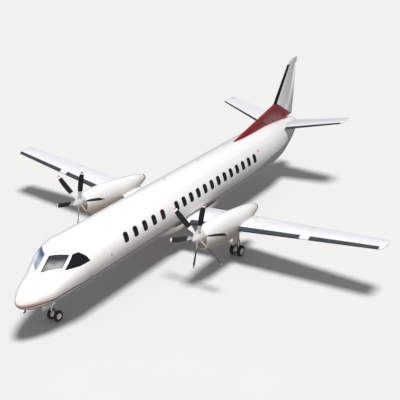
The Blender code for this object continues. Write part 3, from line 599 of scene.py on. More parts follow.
def carved(shape, tool, operation="DIFFERENCE"):
    """Cut, join or trim one closed shape with another."""
    base = plain_object("base", shape)
    cutter = plain_object("cutter", tool)
    change = base.modifiers.new("cut", "BOOLEAN")
    change.operation = operation
    change.solver = "EXACT"
    change.object = cutter
    graph = bpy.context.evaluated_depsgraph_get()
    mesh = bpy.data.meshes.new_from_object(base.evaluated_get(graph))
    result = bmesh.new()
    result.from_mesh(mesh)
    bpy.data.meshes.remove(mesh)
    for helper in (base, cutter):
        bpy.data.meshes.remove(helper.data)
    return result


def lofted(outline, places, caps=True):
    """Draw a flat outline out through a row of places."""
    ring = list(outline.edges)
    placed(outline, places[0])
    if caps:
        bmesh.ops.edgeloop_fill(outline, edges=ring)
    for before, after in zip(places, places[1:]):
        grown = bmesh.ops.extrude_edge_only(outline, edges=ring)["geom"]
        fresh = {item for item in grown if isinstance(item, bmesh.types.BMVert)}
        bmesh.ops.transform(outline, matrix=after @ before.inverted(), verts=list(fresh))
        ring = [item for item in grown
                if isinstance(item, bmesh.types.BMEdge) and set(item.verts) <= fresh]
    if caps:
        bmesh.ops.edgeloop_fill(outline, edges=ring)
    return outline


def turned(profile, steps, place=Matrix.Identity(4)):
    """Spin a line of (radius, along) round Z, then place it."""
    shape = bmesh.new()
    line = [shape.verts.new((radius, 0.0, along)) for radius, along in profile]
    edges = [shape.edges.new(ends) for ends in zip(line, line[1:])]
    if profile[0][0] > 0.0 and profile[-1][0] > 0.0:
        edges.append(shape.edges.new((line[-1], line[0])))
    bmesh.ops.spin(shape, geom=line + edges, axis=(0, 0, 1), cent=(0, 0, 0), steps=steps,
                   angle=2.0 * math.pi, use_merge=True)
    bmesh.ops.remove_doubles(shape, verts=shape.verts, dist=0.00001)
    return placed(shape, place)


def aimed(start, end):
    """A place at a point, with Z towards another."""
    start = Vector(start)
    turn = Vector((0, 0, 1)).rotation_difference(Vector(end) - start).to_matrix().to_4x4()
    return Matrix.Translation(start) @ turn


def bar(start, end, radius, sides=20, end_radius=None, bevel=0.0):
    """A round bar, or a taper, between two points."""
    length = (Vector(end) - Vector(start)).length
    shape = bmesh.new()
    bmesh.ops.create_cone(shape, cap_ends=True, segments=sides, radius1=radius,
                          radius2=radius if end_radius is None else end_radius, depth=length,
                          matrix=Matrix.Translation((0, 0, length / 2.0)))
    if bevel:
        rims = [edge for edge in shape.edges if len(edge.link_faces[0].verts) == sides
                or len(edge.link_faces[1].verts) == sides]
        softened(shape, rims, bevel)
    return placed(shape, aimed(start, end))


def crossbar(x, y, z, half, radius, sides=24, bevel=0.0):
    """A round bar along X, half its length to each side of a point."""
    return bar((x - half, y, z), (x + half, y, z), radius, sides, bevel=bevel)


def brick(low, high, bevel=0.0):
    """A box between two corners, with its edges eased."""
    low, high = Vector(low), Vector(high)
    shape = bmesh.new()
    bmesh.ops.create_cube(shape, size=1.0)
    bmesh.ops.scale(shape, vec=high - low, verts=shape.verts)
    bmesh.ops.translate(shape, vec=(low + high) / 2.0, verts=shape.verts)
    if bevel:
        softened(shape, shape.edges[:], bevel)
    return shape


def plate(width, height, depth, corner, place, bevel=0.0):
    """A round-cornered plate that stands on XY, from z = 0 to its depth."""
    shape = bmesh.new()
    bmesh.ops.create_grid(shape, x_segments=1, y_segments=1, size=0.5)
    bmesh.ops.scale(shape, vec=(width, height, 1.0), verts=shape.verts)
    softened(shape, shape.verts[:], corner, 6, "VERTICES")
    raised(shape, (0.0, 0.0, depth))
    bmesh.ops.recalc_face_normals(shape, faces=shape.faces)
    if bevel:
        rims = [edge for edge in shape.edges
                if abs(edge.verts[0].co.z - edge.verts[1].co.z) < 1e-6]
        softened(shape, rims, bevel)
    return placed(shape, place)


def wedge(corners, low, high):
    """A flat outline of (x, y) corners drawn up from one height to another."""
    shape = bmesh.new()
    shape.faces.new([shape.verts.new((x, y, low)) for x, y in corners])
    return raised(shape, (0.0, 0.0, high - low))


def hull(*shapes):
    """The tight skin round several shapes."""
    whole = joined(*shapes)
    found = bmesh.ops.convex_hull(whole, input=whole.verts[:])
    spare = {item for key in ("geom_interior", "geom_unused") for item in found[key]
             if isinstance(item, bmesh.types.BMVert)}
    bmesh.ops.delete(whole, geom=list(spare), context="VERTS")
    bmesh.ops.dissolve_limit(whole, angle_limit=math.radians(0.2), verts=whole.verts[:],
                             edges=whole.edges[:])
    return whole


def pipe(points, radius, sides=10):
    """A bent pipe through points."""
    parts = []
    for start, end in zip(points, points[1:]):
        parts.append(bar(start, end, radius, sides))
    for point in points[1:-1]:
        joint = bmesh.new()
        bmesh.ops.create_icosphere(joint, subdivisions=2, radius=radius * 1.02,
                                   matrix=Matrix.Translation(point))
        parts.append(joint)
    return joined(*parts)


def eased(rows, spacing):
    """Fill in a table of stations along smooth curves that don't overshoot its rows."""
    places = [row[0] for row in rows]
    slopes = []
    for column in zip(*rows):
        steps = [(after - before) / (far - near) for before, after, near, far
                 in zip(column, column[1:], places, places[1:])]
        inner = [0.0 if before * after <= 0.0 else 2.0 * before * after / (before + after)
                 for before, after in zip(steps, steps[1:])]
        slopes.append([steps[0], *inner, steps[-1]])
    filled = []
    for i, (low, high) in enumerate(zip(rows, rows[1:])):
        length = high[0] - low[0]
        count = max(1, round(abs(length) / spacing))
        for step in range(count):
            t = step / count
            row = []
            for column, (start, end) in enumerate(zip(low, high)):
                leave = slopes[column][i] * length
                arrive = slopes[column][i + 1] * length
                row.append(((2 * t - 3) * t * t + 1) * start + ((t - 2) * t + 1) * t * leave
                           + (3 - 2 * t) * t * t * end + (t - 1) * t * t * arrive)
            filled.append(row)
    filled.append(list(rows[-1]))
    return filled


# Fuselage

# y, half width, top, bottom
FUSELAGE = (
    (-13.64, 0.03, 2.055, 1.995),
    (-13.62, 0.10, 2.13, 1.925),
    (-13.58, 0.19, 2.22, 1.83),
    (-13.45, 0.32, 2.36, 1.69),
    (-13.15, 0.545, 2.585, 1.535),
    (-12.70, 0.775, 2.80, 1.415),
    (-12.21, 0.965, 2.99, 1.34),
    (-11.85, 1.065, 3.29, 1.30),
    (-11.48, 1.18, 3.63, 1.275),
    (-11.05, 1.305, 3.89, 1.26),
    (-10.30, 1.40, 4.05, 1.25),
    (-6.00, 1.40, 4.05, 1.25),
    (0.00, 1.40, 4.05, 1.25),
    (6.00, 1.40, 4.05, 1.25),
    (8.30, 1.375, 4.05, 1.28),
    (8.80, 1.355, 4.05, 1.30),
    (10.00, 1.24, 3.98, 1.44),
    (10.80, 1.08, 3.89, 1.66),
    (11.50, 0.93, 3.81, 1.91),
    (12.17, 0.77, 3.74, 2.20),
    (12.80, 0.58, 3.66, 2.49),
    (13.30, 0.38, 3.56, 2.72),
)
TAIL_CONE = (
    (13.302, 0.378, 3.558, 2.722),
    (13.46, 0.28, 3.47, 2.86),
    (13.58, 0.16, 3.36, 3.00),
    (13.64, 0.05, 3.24, 3.13),
)
FAIRING = (
    (-4.00, 0.45, 1.75, 1.30),
    (-3.30, 1.00, 2.00, 1.20),
    (-2.40, 1.33, 2.17, 1.12),
    (0.60, 1.33, 2.17, 1.11),
    (1.90, 1.12, 2.08, 1.16),
    (3.20, 0.50, 1.80, 1.30),
)
CABIN_RADIUS = 1.40
CABIN_Z = 2.65


def across(y, half_width, top, bottom, x=0.0, grow=0.0):
    """The place that lays a unit circle across the fuselage or a nacelle."""
    return Matrix(((half_width + grow, 0.0, 0.0, x),
                   (0.0, 0.0, 1.0, y),
                   (0.0, (top - bottom) / 2.0 + grow, 0.0, (top + bottom) / 2.0),
                   (0.0, 0.0, 0.0, 1.0)))


def tubular(rows, sides, spacing, grow=0.0):
    return lofted(circle(sides), [across(*row, grow=grow) for row in eased(rows, spacing)])


def fuselage_form(grow=0.0):
    return tubular(FUSELAGE, 96, 0.16, grow=grow)


# Corners of the port panes: x, y, z
WINDSCREEN = (
    (0.12, -11.49, 3.62), (0.87, -10.88, 3.60), (0.92, -11.49, 3.18), (0.13, -12.16, 3.02))
SIDE_PANE = (
    (0.90, -10.77, 3.60), (0.99, -10.44, 3.60), (1.22, -10.14, 3.34),
    (1.34, -10.00, 3.05), (1.28, -10.69, 3.04), (1.00, -11.46, 3.08))
PANES = (("windscreen", WINDSCREEN, Vector((0.42, -0.42, 0.80)).normalized()),
         ("side_window", SIDE_PANE, Vector((0.93, -0.10, 0.36)).normalized()))
PANE_DEPTH = 0.03
PANE_CORNER = 0.05
PANE_THROUGH = 0.5


def pane_block(corners, facing, side, inward, shrink=0.0):
    """A straight-sided block through a pane's corners, square to the way it faces."""
    corners = [Vector(corner) for corner in corners]
    centre = sum(corners, Vector()) / len(corners)
    heights = [(corner - centre).dot(facing) for corner in corners]
    shape = bmesh.new()
    base = []
    for corner, height in zip(corners, heights):
        flat = centre + (corner - centre - height * facing) * (1.0 - shrink)
        base.append(shape.verts.new(flat + facing * (min(heights) - inward)))
    shape.faces.new(base)
    softened(shape, base, PANE_CORNER, 5, "VERTICES")
    raised(shape, facing * (max(heights) - min(heights) + inward + PANE_THROUGH))
    return sided(shape, side)


# name, side, y from, y to, z from, z to
DOORS = (
    ("passenger_door", 1, -8.66, -7.54, 1.96, 3.56),
    ("service_door", -1, -8.40, -7.72, 2.02, 3.40),
    ("baggage_door", 1, 6.72, 8.02, 2.18, 3.42),
)
DOOR_CORNER = 0.12
DOOR_INNER_X = 0.78
OUTSIDE_X = 1.7


def side_plate(side, y, z, length, height, corner, from_x, to_x, bevel=0.0):
    """A round-cornered block along X, centred at y and z."""
    place = Matrix(((0.0, 0.0, side, side * from_x), (1.0, 0.0, 0.0, y),
                    (0.0, 1.0, 0.0, z), (0.0, 0.0, 0.0, 1.0)))
    return plate(length, height, to_x - from_x, corner, place, bevel)


def door_block(side, y_low, y_high, z_low, z_high, shrink=0.0):
    return side_plate(side, (y_low + y_high) / 2.0, (z_low + z_high) / 2.0,
                      y_high - y_low - 2.0 * shrink, z_high - z_low - 2.0 * shrink,
                      DOOR_CORNER, DOOR_INNER_X, OUTSIDE_X)


# first window's y, pitch, count
WINDOW_ROWS = ((-7.23, 0.7935, 5), (-2.76, 0.708, 13))
WINDOW_Z = 3.11
WINDOW_LENGTH = 0.32
WINDOW_HEIGHT = 0.49
WINDOW_CORNER = WINDOW_LENGTH * 0.36


def window_blocks(grow, from_x=1.15, to_x=OUTSIDE_X):
    blocks = []
    for first, pitch, count in WINDOW_ROWS:
        for i in range(count):
            for _, side in SIDES:
                blocks.append(side_plate(side, first + pitch * i, WINDOW_Z,
                                         WINDOW_LENGTH + 2.0 * grow,
                                         WINDOW_HEIGHT + 2.0 * grow, WINDOW_CORNER + grow,
                                         from_x, to_x))
    return joined(*blocks)


PAD_RADIUS = 0.06
# x, y, lower and upper end
NOSE_PAD = (0.0, -9.60, 1.23, 1.40)
WING_PAD = (5.10, -1.00, 1.955, 2.10)
NOSE_BAY = ((-0.24, -12.45, 1.0), (0.24, -11.12, 1.86))


def pad(x, y, low, top):
    """A flat jacking pad, to be joined to a skin."""
    return bar((x, y, low), (x, y, top), PAD_RADIUS, 32, bevel=0.004)


def make_fuselage():
    skin = carved(fuselage_form(), window_blocks(0.0))
    for _, *pane in PANES:
        for _, side in SIDES:
            skin = carved(skin, pane_block(*pane, side, PANE_DEPTH))
    for _, side, *extent in DOORS:
        skin = carved(skin, door_block(side, *extent))
    skin = carved(skin, brick(*NOSE_BAY))
    skin = carved(skin, pad(*NOSE_PAD), "UNION")
    piece("fuselage_skin", skin, "fuselage_paint", "fuselage", "rear_fuselage")
    for name, side, *extent in DOORS:
        door = carved(fuselage_form(), door_block(side, *extent, 0.006), "INTERSECT")
        piece(name + "_panel", door, "fuselage_paint", name)
    panes = carved(fuselage_form(-0.012), window_blocks(-0.001), "INTERSECT")
    piece("cabin_windows", panes, "cabin_glass")
    rims = carved(fuselage_form(0.003), window_blocks(0.018, 1.2), "INTERSECT")
    rims = carved(rims, window_blocks(-0.006, 1.1, 1.8))
    piece("cabin_window_rims", rims, "seal_rubber", slot="paint_white")
    for name, *pane in PANES:
        for side_name, side in SIDES:
            solid = carved(fuselage_form(-0.004),
                           pane_block(*pane, side, PANE_DEPTH - 0.002, 0.012), "INTERSECT")
            piece(f"{name}_{side_name}_pane", solid, name + "_glass", f"{name}_{side_name}")
            edge = carved(fuselage_form(-0.002),
                          pane_block(*pane, side, PANE_DEPTH - 0.001, 0.002), "INTERSECT")
            edge = carved(edge, pane_block(*pane, side, 0.2, 0.0125))
            piece(f"{name}_{side_name}_seal", edge, "seal_rubber")
    piece("tail_cone_skin", tubular(TAIL_CONE, 64, 0.03), "fuselage_paint", "tail_cone")
    piece("belly_fairing", tubular(FAIRING, 96, 0.12), "fuselage_paint", "wing_fairing")


# Wings, fin and tailplane

DIHEDRAL = math.radians(5.5)
TIP_X = 12.38
TIP_Z = 2.81
WING_CENTRE_Z = TIP_Z - math.tan(DIHEDRAL) * TIP_X
LEADING_EDGE = (-2.067, 0.089)
TRAILING_EDGE = (0.60, -0.0275)
# span, thickness ratio, leading edge moved back, trailing edge moved forward
WING_SECTIONS = (
    (0.9, 0.165, 0.0, 0.0),
    (4.07, 0.155, 0.0, 0.0),
    (8.20, 0.145, 0.0, 0.0),
    (12.20, 0.13, 0.0, 0.0),
    (12.29, 0.12, 0.03, 0.007),
    (12.36, 0.105, 0.09, 0.02),
    (12.41, 0.08, 0.18, 0.045),
    (12.43, 0.06, 0.27, 0.07),
)
WING_PLACE = (Matrix.Translation((0.0, 0.0, WING_CENTRE_Z))
              @ Matrix.Rotation(-DIHEDRAL, 4, "Y"))
CAMBER = 0.018
BLUNT_EDGE = 0.004


def half_thickness(along):
    """Half the thickness of a wing section, for a thickness ratio of 1."""
    return 5.0 * (0.2969 * math.sqrt(along) - 0.1260 * along - 0.3516 * along ** 2
                  + 0.2843 * along ** 3 - 0.1036 * along ** 4)


def aerofoil(points, camber=0.0):
    """A closed wing section of unit chord and unit thickness ratio."""
    shape = circle(points)
    for vert in shape.verts:
        angle = math.atan2(vert.co.y, vert.co.x)
        along = (1.0 + math.cos(angle)) / 2.0
        half = half_thickness(along) + 0.02 * along
        rise = camber * 4.0 * along * (1.0 - along) / 0.15
        vert.co = (along, rise + half * math.sin(angle) / max(abs(math.sin(angle)), 1e-6), 0.0)
    return shape


def edge_at(edge, span):
    return edge[0] + edge[1] * span


def wing_place(span, ratio, leading, trailing, place, grow=0.0):
    """The place that lays a unit wing section across a span."""
    chord = trailing - leading + 2.0 * grow
    return place @ Matrix(((0.0, 0.0, 1.0, span),
                           (chord, 0.0, 0.0, leading - grow),
                           (0.0, chord * ratio + grow * 14.0, 0.0, 0.0),
                           (0.0, 0.0, 0.0, 1.0)))


def surface_places(sections, leading_edge, trailing_edge, place, grow=0.0):
    places = []
    for span, ratio, back, forward in sections:
        leading = edge_at(leading_edge, span) + back
        trailing = edge_at(trailing_edge, span) - forward
        places.append(wing_place(span, ratio, leading, trailing, place, grow))
    return places


def wing_form(grow=0.0):
    return lofted(aerofoil(64, CAMBER),
                  surface_places(eased(WING_SECTIONS, 0.5), LEADING_EDGE, TRAILING_EDGE,
                                 WING_PLACE, grow))


def ratio_at(sections, span):
    for near, far in zip(sections, sections[1:]):
        if span <= far[0]:
            part = (span - near[0]) / (far[0] - near[0])
            return near[1] + part * (far[1] - near[1])
    return sections[-1][1]


NOSE_SIDES = 40
SKIN_ALLOWANCE = 0.004


class Surface:
    """A hinged surface of a wing, tailplane or fin, between two stations of its span."""

    def __init__(self, start, end, part, leading, trailing, sections, camber, place):
        self.place = place
        self.stations = []
        for span in (start, end):
            front = edge_at(leading, span)
            back = edge_at(trailing, span)
            chord = back - front
            along = 1.0 - part
            middle = camber * 4.0 * along * part * chord
            radius = half_thickness(along) * ratio_at(sections, span) * chord - SKIN_ALLOWANCE
            self.stations.append((span, back - part * chord, middle, radius, back))

    def nose(self, grow=0.0, ends=0.0):
        """The round nose along the hinge line, as a tapering bar."""
        (s0, y0, z0, r0, _), (s1, y1, z1, r1, _) = self.stations
        return bar((s0 - ends, y0, z0), (s1 + ends, y1, z1), r0 + grow, NOSE_SIDES, r1 + grow)

    def form(self):
        """The surface itself, from its round nose to its thin edge."""
        edge = bmesh.new()
        for span, _, _, _, back in self.stations:
            for up in (-BLUNT_EDGE, BLUNT_EDGE):
                edge.verts.new((span, back, up))
        return placed(hull(self.nose(), edge), self.place)

    def cove(self, gap=0.012, ends=0.015):
        """The room that the surface moves in."""
        room = bmesh.new()
        for (span, _, middle, _, back), step in zip(self.stations, (-ends, ends)):
            for up in (-0.5, 0.5):
                room.verts.new((span + step, back + 0.3, middle + up))
        return placed(hull(self.nose(gap, ends), room), self.place)


# name, span from, span to
WING_SURFACES = (("flap_inner", 1.50, 3.50), ("flap_outer", 4.68, 8.10),
                 ("aileron", 8.22, 11.95))
SURFACE_PART = 0.27
# span from, span to, width of the boot at each end
WING_BOOTS = ((1.55, 3.40, 0.22, 0.22), (4.52, 7.98, 0.22, 0.20), (8.50, 12.15, 0.20, 0.17))
BOOT_THICKNESS = 0.002


def boot(form, leading_edge, rows, low, high):
    """Rubber over the front of a wing, trimmed in plan."""
    trims = []
    for start, end, near, far in rows:
        front_0 = edge_at(leading_edge, start)
        front_1 = edge_at(leading_edge, end)
        trims.append(wedge(((start, front_0 - 0.5), (end, front_1 - 0.5),
                            (end, front_1 + far), (start, front_0 + near)), low, high))
    return carved(form, joined(*trims), "INTERSECT")


def make_wings():
    wing = wing_form()
    for name, start, end in WING_SURFACES:
        surface = Surface(start, end, SURFACE_PART, LEADING_EDGE, TRAILING_EDGE, WING_SECTIONS,
                          CAMBER, WING_PLACE)
        wing = carved(wing, surface.cove())
        body = name + "_{}"
        pair(body + "_skin", surface.form(), "wing_paint", body, body=body)
    wing = carved(wing, pad(*WING_PAD), "UNION")
    pair("wing_{}_skin", wing, "wing_paint", "wing_{}")
    boots = boot(wing_form(BOOT_THICKNESS), LEADING_EDGE, WING_BOOTS, 1.0, 4.0)
    pair("wing_{}_boots", boots, "boot_rubber")


# z, leading edge y, trailing edge y, thickness ratio
FIN_SECTIONS = (
    (3.30, 1.55, 13.13, 0.033),
    (5.09, 10.50, 13.33, 0.115),
    (7.50, 12.34, 13.60, 0.115),
    (7.66, 12.47, 13.62, 0.108),
    (7.73, 12.56, 13.63, 0.085),
    (7.77, 12.68, 13.63, 0.05),
)
FIN_LEADING = (6.61, 0.764)
FIN_TRAILING = (12.76, 0.112)
# turns a wing that lies along X up on end
FIN_PLACE = Matrix(((0, 0, 1, 0), (0, 1, 0, 0), (1, 0, 0, 0), (0, 0, 0, 1)))
FIN_RATIO = ((0.0, 0.115, 0.0, 0.0), (9.0, 0.115, 0.0, 0.0))
RUDDER_PART = 0.34
RUDDER_SPAN = (3.84, 7.40)
# from inside the fuselage to just over the rudder
RUDDER_ROOM_SPAN = (2.84, 7.42)
# height, y ahead of the fin and width of the boot, at its foot and its top
FIN_BOOT = ((5.12, 8.0, 0.19), (7.44, 10.0, 0.15))


def fin_form(grow=0.0):
    places = []
    for z, leading, trailing, ratio in FIN_SECTIONS:
        places.append(wing_place(z, ratio, leading, trailing, FIN_PLACE, grow))
    return lofted(aerofoil(64), places)


TAILPLANE_LEADING = (10.30, 0.25)
TAILPLANE_TRAILING = (12.86, -0.02)
TAILPLANE_PLACE = (Matrix.Translation((0.0, 0.0, 3.415))
                   @ Matrix.Rotation(-math.radians(12.0), 4, "Y"))
TAILPLANE_SECTIONS = (
    (0.30, 0.11, 0.0, 0.0),
    (4.42, 0.11, 0.0, 0.0),
    (4.52, 0.10, 0.05, 0.015),
    (4.59, 0.07, 0.16, 0.05),
    (4.615, 0.045, 0.28, 0.08),
)


def tailplane_form(grow=0.0):
    return lofted(aerofoil(56), surface_places(TAILPLANE_SECTIONS, TAILPLANE_LEADING,
                                               TAILPLANE_TRAILING, TAILPLANE_PLACE, grow))


ELEVATOR_PART = 0.36
ELEVATOR_SPAN = (0.80, 4.34)
TAILPLANE_BOOTS = ((0.90, 4.41, 0.12, 0.09),)


def make_tail():
    fin_edges = (FIN_LEADING, FIN_TRAILING, FIN_RATIO, 0.0, FIN_PLACE)
    rudder = Surface(*RUDDER_SPAN, RUDDER_PART, *fin_edges)
    room = Surface(*RUDDER_ROOM_SPAN, RUDDER_PART, *fin_edges)
    piece("fin_skin", carved(fin_form(), room.cove(ends=0.0)), "tail_paint", "fin")
    piece("rudder_skin", rudder.form(), "tail_paint", "rudder", body="rudder")
    outline = [(z, ahead) for z, ahead, _ in FIN_BOOT]
    outline += [(z, edge_at(FIN_LEADING, z) + width) for z, _, width in FIN_BOOT[::-1]]
    trim = placed(wedge(outline, -0.5, 0.5), FIN_PLACE)
    piece("fin_boot", carved(fin_form(BOOT_THICKNESS), trim, "INTERSECT"), "fin_boot_rubber")
    elevator = Surface(*ELEVATOR_SPAN, ELEVATOR_PART, TAILPLANE_LEADING, TAILPLANE_TRAILING,
                       TAILPLANE_SECTIONS, 0.0, TAILPLANE_PLACE)
    pair("tailplane_{}_skin", carved(tailplane_form(), elevator.cove()), "tailplane_paint",
         "tailplane_{}")
    pair("elevator_{}_skin", elevator.form(), "tailplane_paint", "elevator_{}",
         body="elevator_{}")
    edge = boot(tailplane_form(BOOT_THICKNESS), TAILPLANE_LEADING, TAILPLANE_BOOTS, 3.0, 6.0)
    pair("tailplane_{}_boot", edge, "boot_rubber")


# Nacelles and propellers

NACELLE_X = 3.96
THRUST_Z = 2.765
DISC_Y = -4.70
FIREWALL_Y = -1.95
# y, half width, top, bottom
COWL = (
    (-4.44, 0.385, 3.135, 1.98),
    (-4.30, 0.43, 3.165, 1.87),
    (-4.00, 0.48, 3.20, 1.73),
    (-3.30, 0.54, 3.21, 1.57),
    (-1.95, 0.57, 3.09, 1.42),
    (-1.20, 0.55, 2.98, 1.44),
    (-0.50, 0.50, 2.86, 1.56),
    (0.20, 0.42, 2.73, 1.77),
    (0.72, 0.33, 2.60, 1.93),
    (1.06, 0.25, 2.50, 2.01),
)
EXHAUST_Z = 2.25
NACELLE_SIDES = 80
COWL_WALL = 0.03
COWL_SPACING = 0.09
# forward and inward of the cowl's front edge
COWL_LIP = ((0.004, 0.006), (0.006, 0.015), (0.003, 0.026))
EXHAUST_TAIL = ((0.200, 0.0), (0.200, 0.44), (0.196, 0.485), (0.188, 0.50), (0.182, 0.49),
                (0.180, 0.44), (0.180, 0.0))
EXHAUST_PLUG = ((0.0, 0.32), (0.05, 0.30), (0.09, 0.22), (0.11, 0.10), (0.11, 0.0), (0.0, 0.0))


def nacelle_rings(rows, grow=0.0):
    return [across(*row, NACELLE_X, grow) for row in rows]


def make_nacelles():
    rows = eased(COWL, COWL_SPACING)
    front = [row for row in rows if row[0] < FIREWALL_Y - 0.02]
    rear = [row for row in rows if row[0] > FIREWALL_Y - 0.02]
    front.append([FIREWALL_Y - 0.003, *rear[0][1:]])
    y, half_width, top, bottom = front[0]
    lip = [(y - ahead, half_width - inward, top - inward, bottom + inward)
           for ahead, inward in COWL_LIP]
    cowl = lofted(circle(NACELLE_SIDES), nacelle_rings(front[::-1] + lip)
                  + nacelle_rings(front, -COWL_WALL), caps=False)
    bmesh.ops.bridge_loops(cowl, edges=[edge for edge in cowl.edges if edge.is_boundary])
    pair("cowling_{}_skin", cowl, "nacelle_paint", "cowling_{}")

    nacelle = lofted(circle(NACELLE_SIDES), nacelle_rings(rear))
    nacelle = carved(nacelle, brick((NACELLE_X - 0.30, -1.85, 1.0),
                                    (NACELLE_X + 0.30, -0.32, 1.80)))
    nacelle = carved(nacelle, bar((NACELLE_X, 0.70, EXHAUST_Z), (NACELLE_X, 1.30, EXHAUST_Z),
                                  0.202, 48))
    pair("nacelle_{}_skin", nacelle, "nacelle_paint", "nacelle_{}")
    tail = turned(EXHAUST_TAIL, 48, along_y(NACELLE_X, 0.702, EXHAUST_Z))
    plug = turned(EXHAUST_PLUG, 32, along_y(NACELLE_X, 0.705, EXHAUST_Z))
    pair("exhaust_{}_pipe", joined(tail, plug), "exhaust_metal", "exhaust_{}")

    # a bulkhead round the shaft, with the intake below it
    bulkhead = lofted(circle(NACELLE_SIDES), nacelle_rings(((-4.405, 0.352, 3.10, 2.012),
                                                            (-4.385, 0.355, 3.105, 2.01))))
    bulkhead = carved(bulkhead, brick((NACELLE_X - 0.5, -4.6, 1.9),
                                      (NACELLE_X + 0.5, -4.2, 2.415)))
    bulkhead = carved(bulkhead, bar((NACELLE_X, -4.6, THRUST_Z), (NACELLE_X, -4.2, THRUST_Z),
                                    0.13, 40))
    shelf = brick((NACELLE_X - 0.36, -4.42, 2.402), (NACELLE_X + 0.36, -3.86, 2.422), 0.006)
    duct = brick((NACELLE_X - 0.42, -3.86, 1.79), (NACELLE_X + 0.42, -3.84, 2.43))
    throat = carved(joined(shelf, duct), lofted(circle(NACELLE_SIDES), nacelle_rings(
        front, -COWL_WALL - 0.002)), "INTERSECT")
    pair("intake_{}", joined(bulkhead, throat), "intake_paint")


def along_y(x, y, z):
    """Turn a shape spun round Z so that its axis runs along Y."""
    return Matrix.Translation((x, y, z)) @ Matrix.Rotation(-math.pi / 2.0, 4, "X")


def along_x(x, y, z):
    return Matrix.Translation((x, y, z)) @ Matrix.Rotation(math.pi / 2.0, 4, "Y")


# radius, along Y behind the blades' plane
SPINNER = (
    (0.0, -0.52), (0.03, -0.505), (0.06, -0.465), (0.105, -0.40), (0.15, -0.33),
    (0.20, -0.24), (0.25, -0.13), (0.288, -0.03), (0.32, 0.08), (0.332, 0.17),
    (0.335, 0.235), (0.330, 0.24), (0.205, 0.24), (0.205, 0.228), (0.320, 0.228),
    (0.323, 0.17), (0.308, 0.08), (0.276, -0.03), (0.238, -0.12), (0.14, -0.31), (0.0, -0.48))
HUB = ((0.0, -0.16), (0.18, -0.16), (0.20, -0.14), (0.20, 0.22), (0.17, 0.238), (0.09, 0.24),
       (0.09, 0.418), (0.0, 0.418))
COLLAR = ((0.075, 0.20), (0.096, 0.20), (0.096, 0.26), (0.088, 0.275), (0.075, 0.275))
# along the blade, chord, thickness, pitch in degrees, chord in front of the blade's axis
BLADE = (
    (0.12, 0.14, 0.14, 66.0, 0.5),
    (0.36, 0.15, 0.12, 64.0, 0.5),
    (0.62, 0.25, 0.065, 56.0, 0.49),
    (1.05, 0.285, 0.042, 46.0, 0.50),
    (1.50, 0.275, 0.028, 39.0, 0.46),
    (1.82, 0.20, 0.018, 35.0, 0.32),
    (1.90, 0.13, 0.013, 33.6, 0.15),
    (1.93, 0.06, 0.009, 33.0, 0.0),
)
BLADE_COUNT = 6
FIRST_BLADE = math.radians(81.0)


def blade_form():
    """One blade, standing up from the hub."""
    places = []
    for reach, chord, thickness, pitch, ahead in eased(BLADE, 0.07):
        pitch = math.radians(pitch)
        ahead_of = Vector((-math.cos(pitch), -math.sin(pitch), 0.0))
        face = Vector((-math.sin(pitch), math.cos(pitch), 0.0))
        middle = ahead_of * chord * (ahead - 0.5)
        wide = ahead_of * chord / 2.0
        deep = face * thickness / 2.0
        places.append(Matrix(((wide.x, deep.x, 0.0, middle.x), (wide.y, deep.y, 0.0, middle.y),
                              (0.0, 0.0, 1.0, reach), (0.0, 0.0, 0.0, 1.0))))
    outline = circle(28)
    for vert in outline.verts:
        # a little sharper towards the trailing edge
        vert.co.y *= 0.72 + 0.28 * vert.co.x
    return lofted(outline, places)


def make_propellers():
    for side_name, side in SIDES:
        body = f"propeller_{side_name}"
        at = (side * NACELLE_X, DISC_Y, THRUST_Z)
        blades = []
        holes = []
        collars = []
        for i in range(BLADE_COUNT):
            angle = math.pi / 2.0 - FIRST_BLADE + 2.0 * math.pi * i / BLADE_COUNT
            turn = Matrix.Translation(at) @ Matrix.Rotation(angle, 4, "Y")
            blades.append(placed(blade_form(), turn))
            holes.append(placed(bar((0, 0, 0.21), (0, 0, 0.45), 0.097, 32), turn))
            collars.append(placed(turned(COLLAR, 32), turn))
        piece(f"blades_{side_name}", joined(*blades), "blade_paint", body, body=body,
              sharp=BLADE_ANGLE)
        piece(f"hub_{side_name}", turned(HUB, 40, along_y(*at)), "fitting_steel", body=body,
              slot="blade_black")
        piece(f"blade_collars_{side_name}", joined(*collars), "spinner_paint", body=body)
        spinner = carved(turned(SPINNER, 72, along_y(*at)), joined(*holes))
        piece(f"spinner_{side_name}_shell", spinner, "spinner_paint", f"spinner_{side_name}",
              body=body)


# Landing gear

MAIN_AXLE_Y = -0.75
NOSE_AXLE_Y = -11.30
# tyre radius, tyre width, rim radius, track, axle radius
MAIN_WHEEL = (0.32, 0.20, 0.185, 0.46, 0.045)
NOSE_WHEEL = (0.28, 0.16, 0.16, 0.42, 0.03)
BOLT_COUNT = 10
RIM_HOLES = 8
# half the rim's width for a tyre width of 1
RIM_REACH = 0.43


def ringed(count, radius, first=0.0):
    """Points evenly spaced round a circle."""
    turns = [2.0 * math.pi * (i + first) / count for i in range(count)]
    return [(radius * math.cos(turn), radius * math.sin(turn)) for turn in turns]


def tyre_form(radius, width, rim):
    """A tyre with three grooves round its tread and a bead at its rim."""
    half = width / 2.0
    deep = radius - rim
    profile = [(rim + 0.001, half * 0.86), (rim + 0.012, half * 0.90),
               (rim + 0.018, half * 0.97), (rim + deep * 0.38, half),
               (rim + deep * 0.62, half * 0.965), (rim + deep * 0.80, half * 0.87),
               (rim + deep * 0.92, half * 0.70), (radius - 0.004, half * 0.52)]
    for middle in (0.34, 0.0):
        groove = 0.045
        profile += [(radius, half * (middle + groove + 0.02)),
                    (radius - 0.001, half * (middle + groove)),
                    (radius - 0.011, half * (middle + groove - 0.02))]
        if middle:
            profile += [(radius - 0.011, half * (middle - groove + 0.02)),
                        (radius - 0.001, half * (middle - groove)),
                        (radius, half * (middle - groove - 0.02))]
    return profile + [(r, -a) for r, a in profile[::-1]]


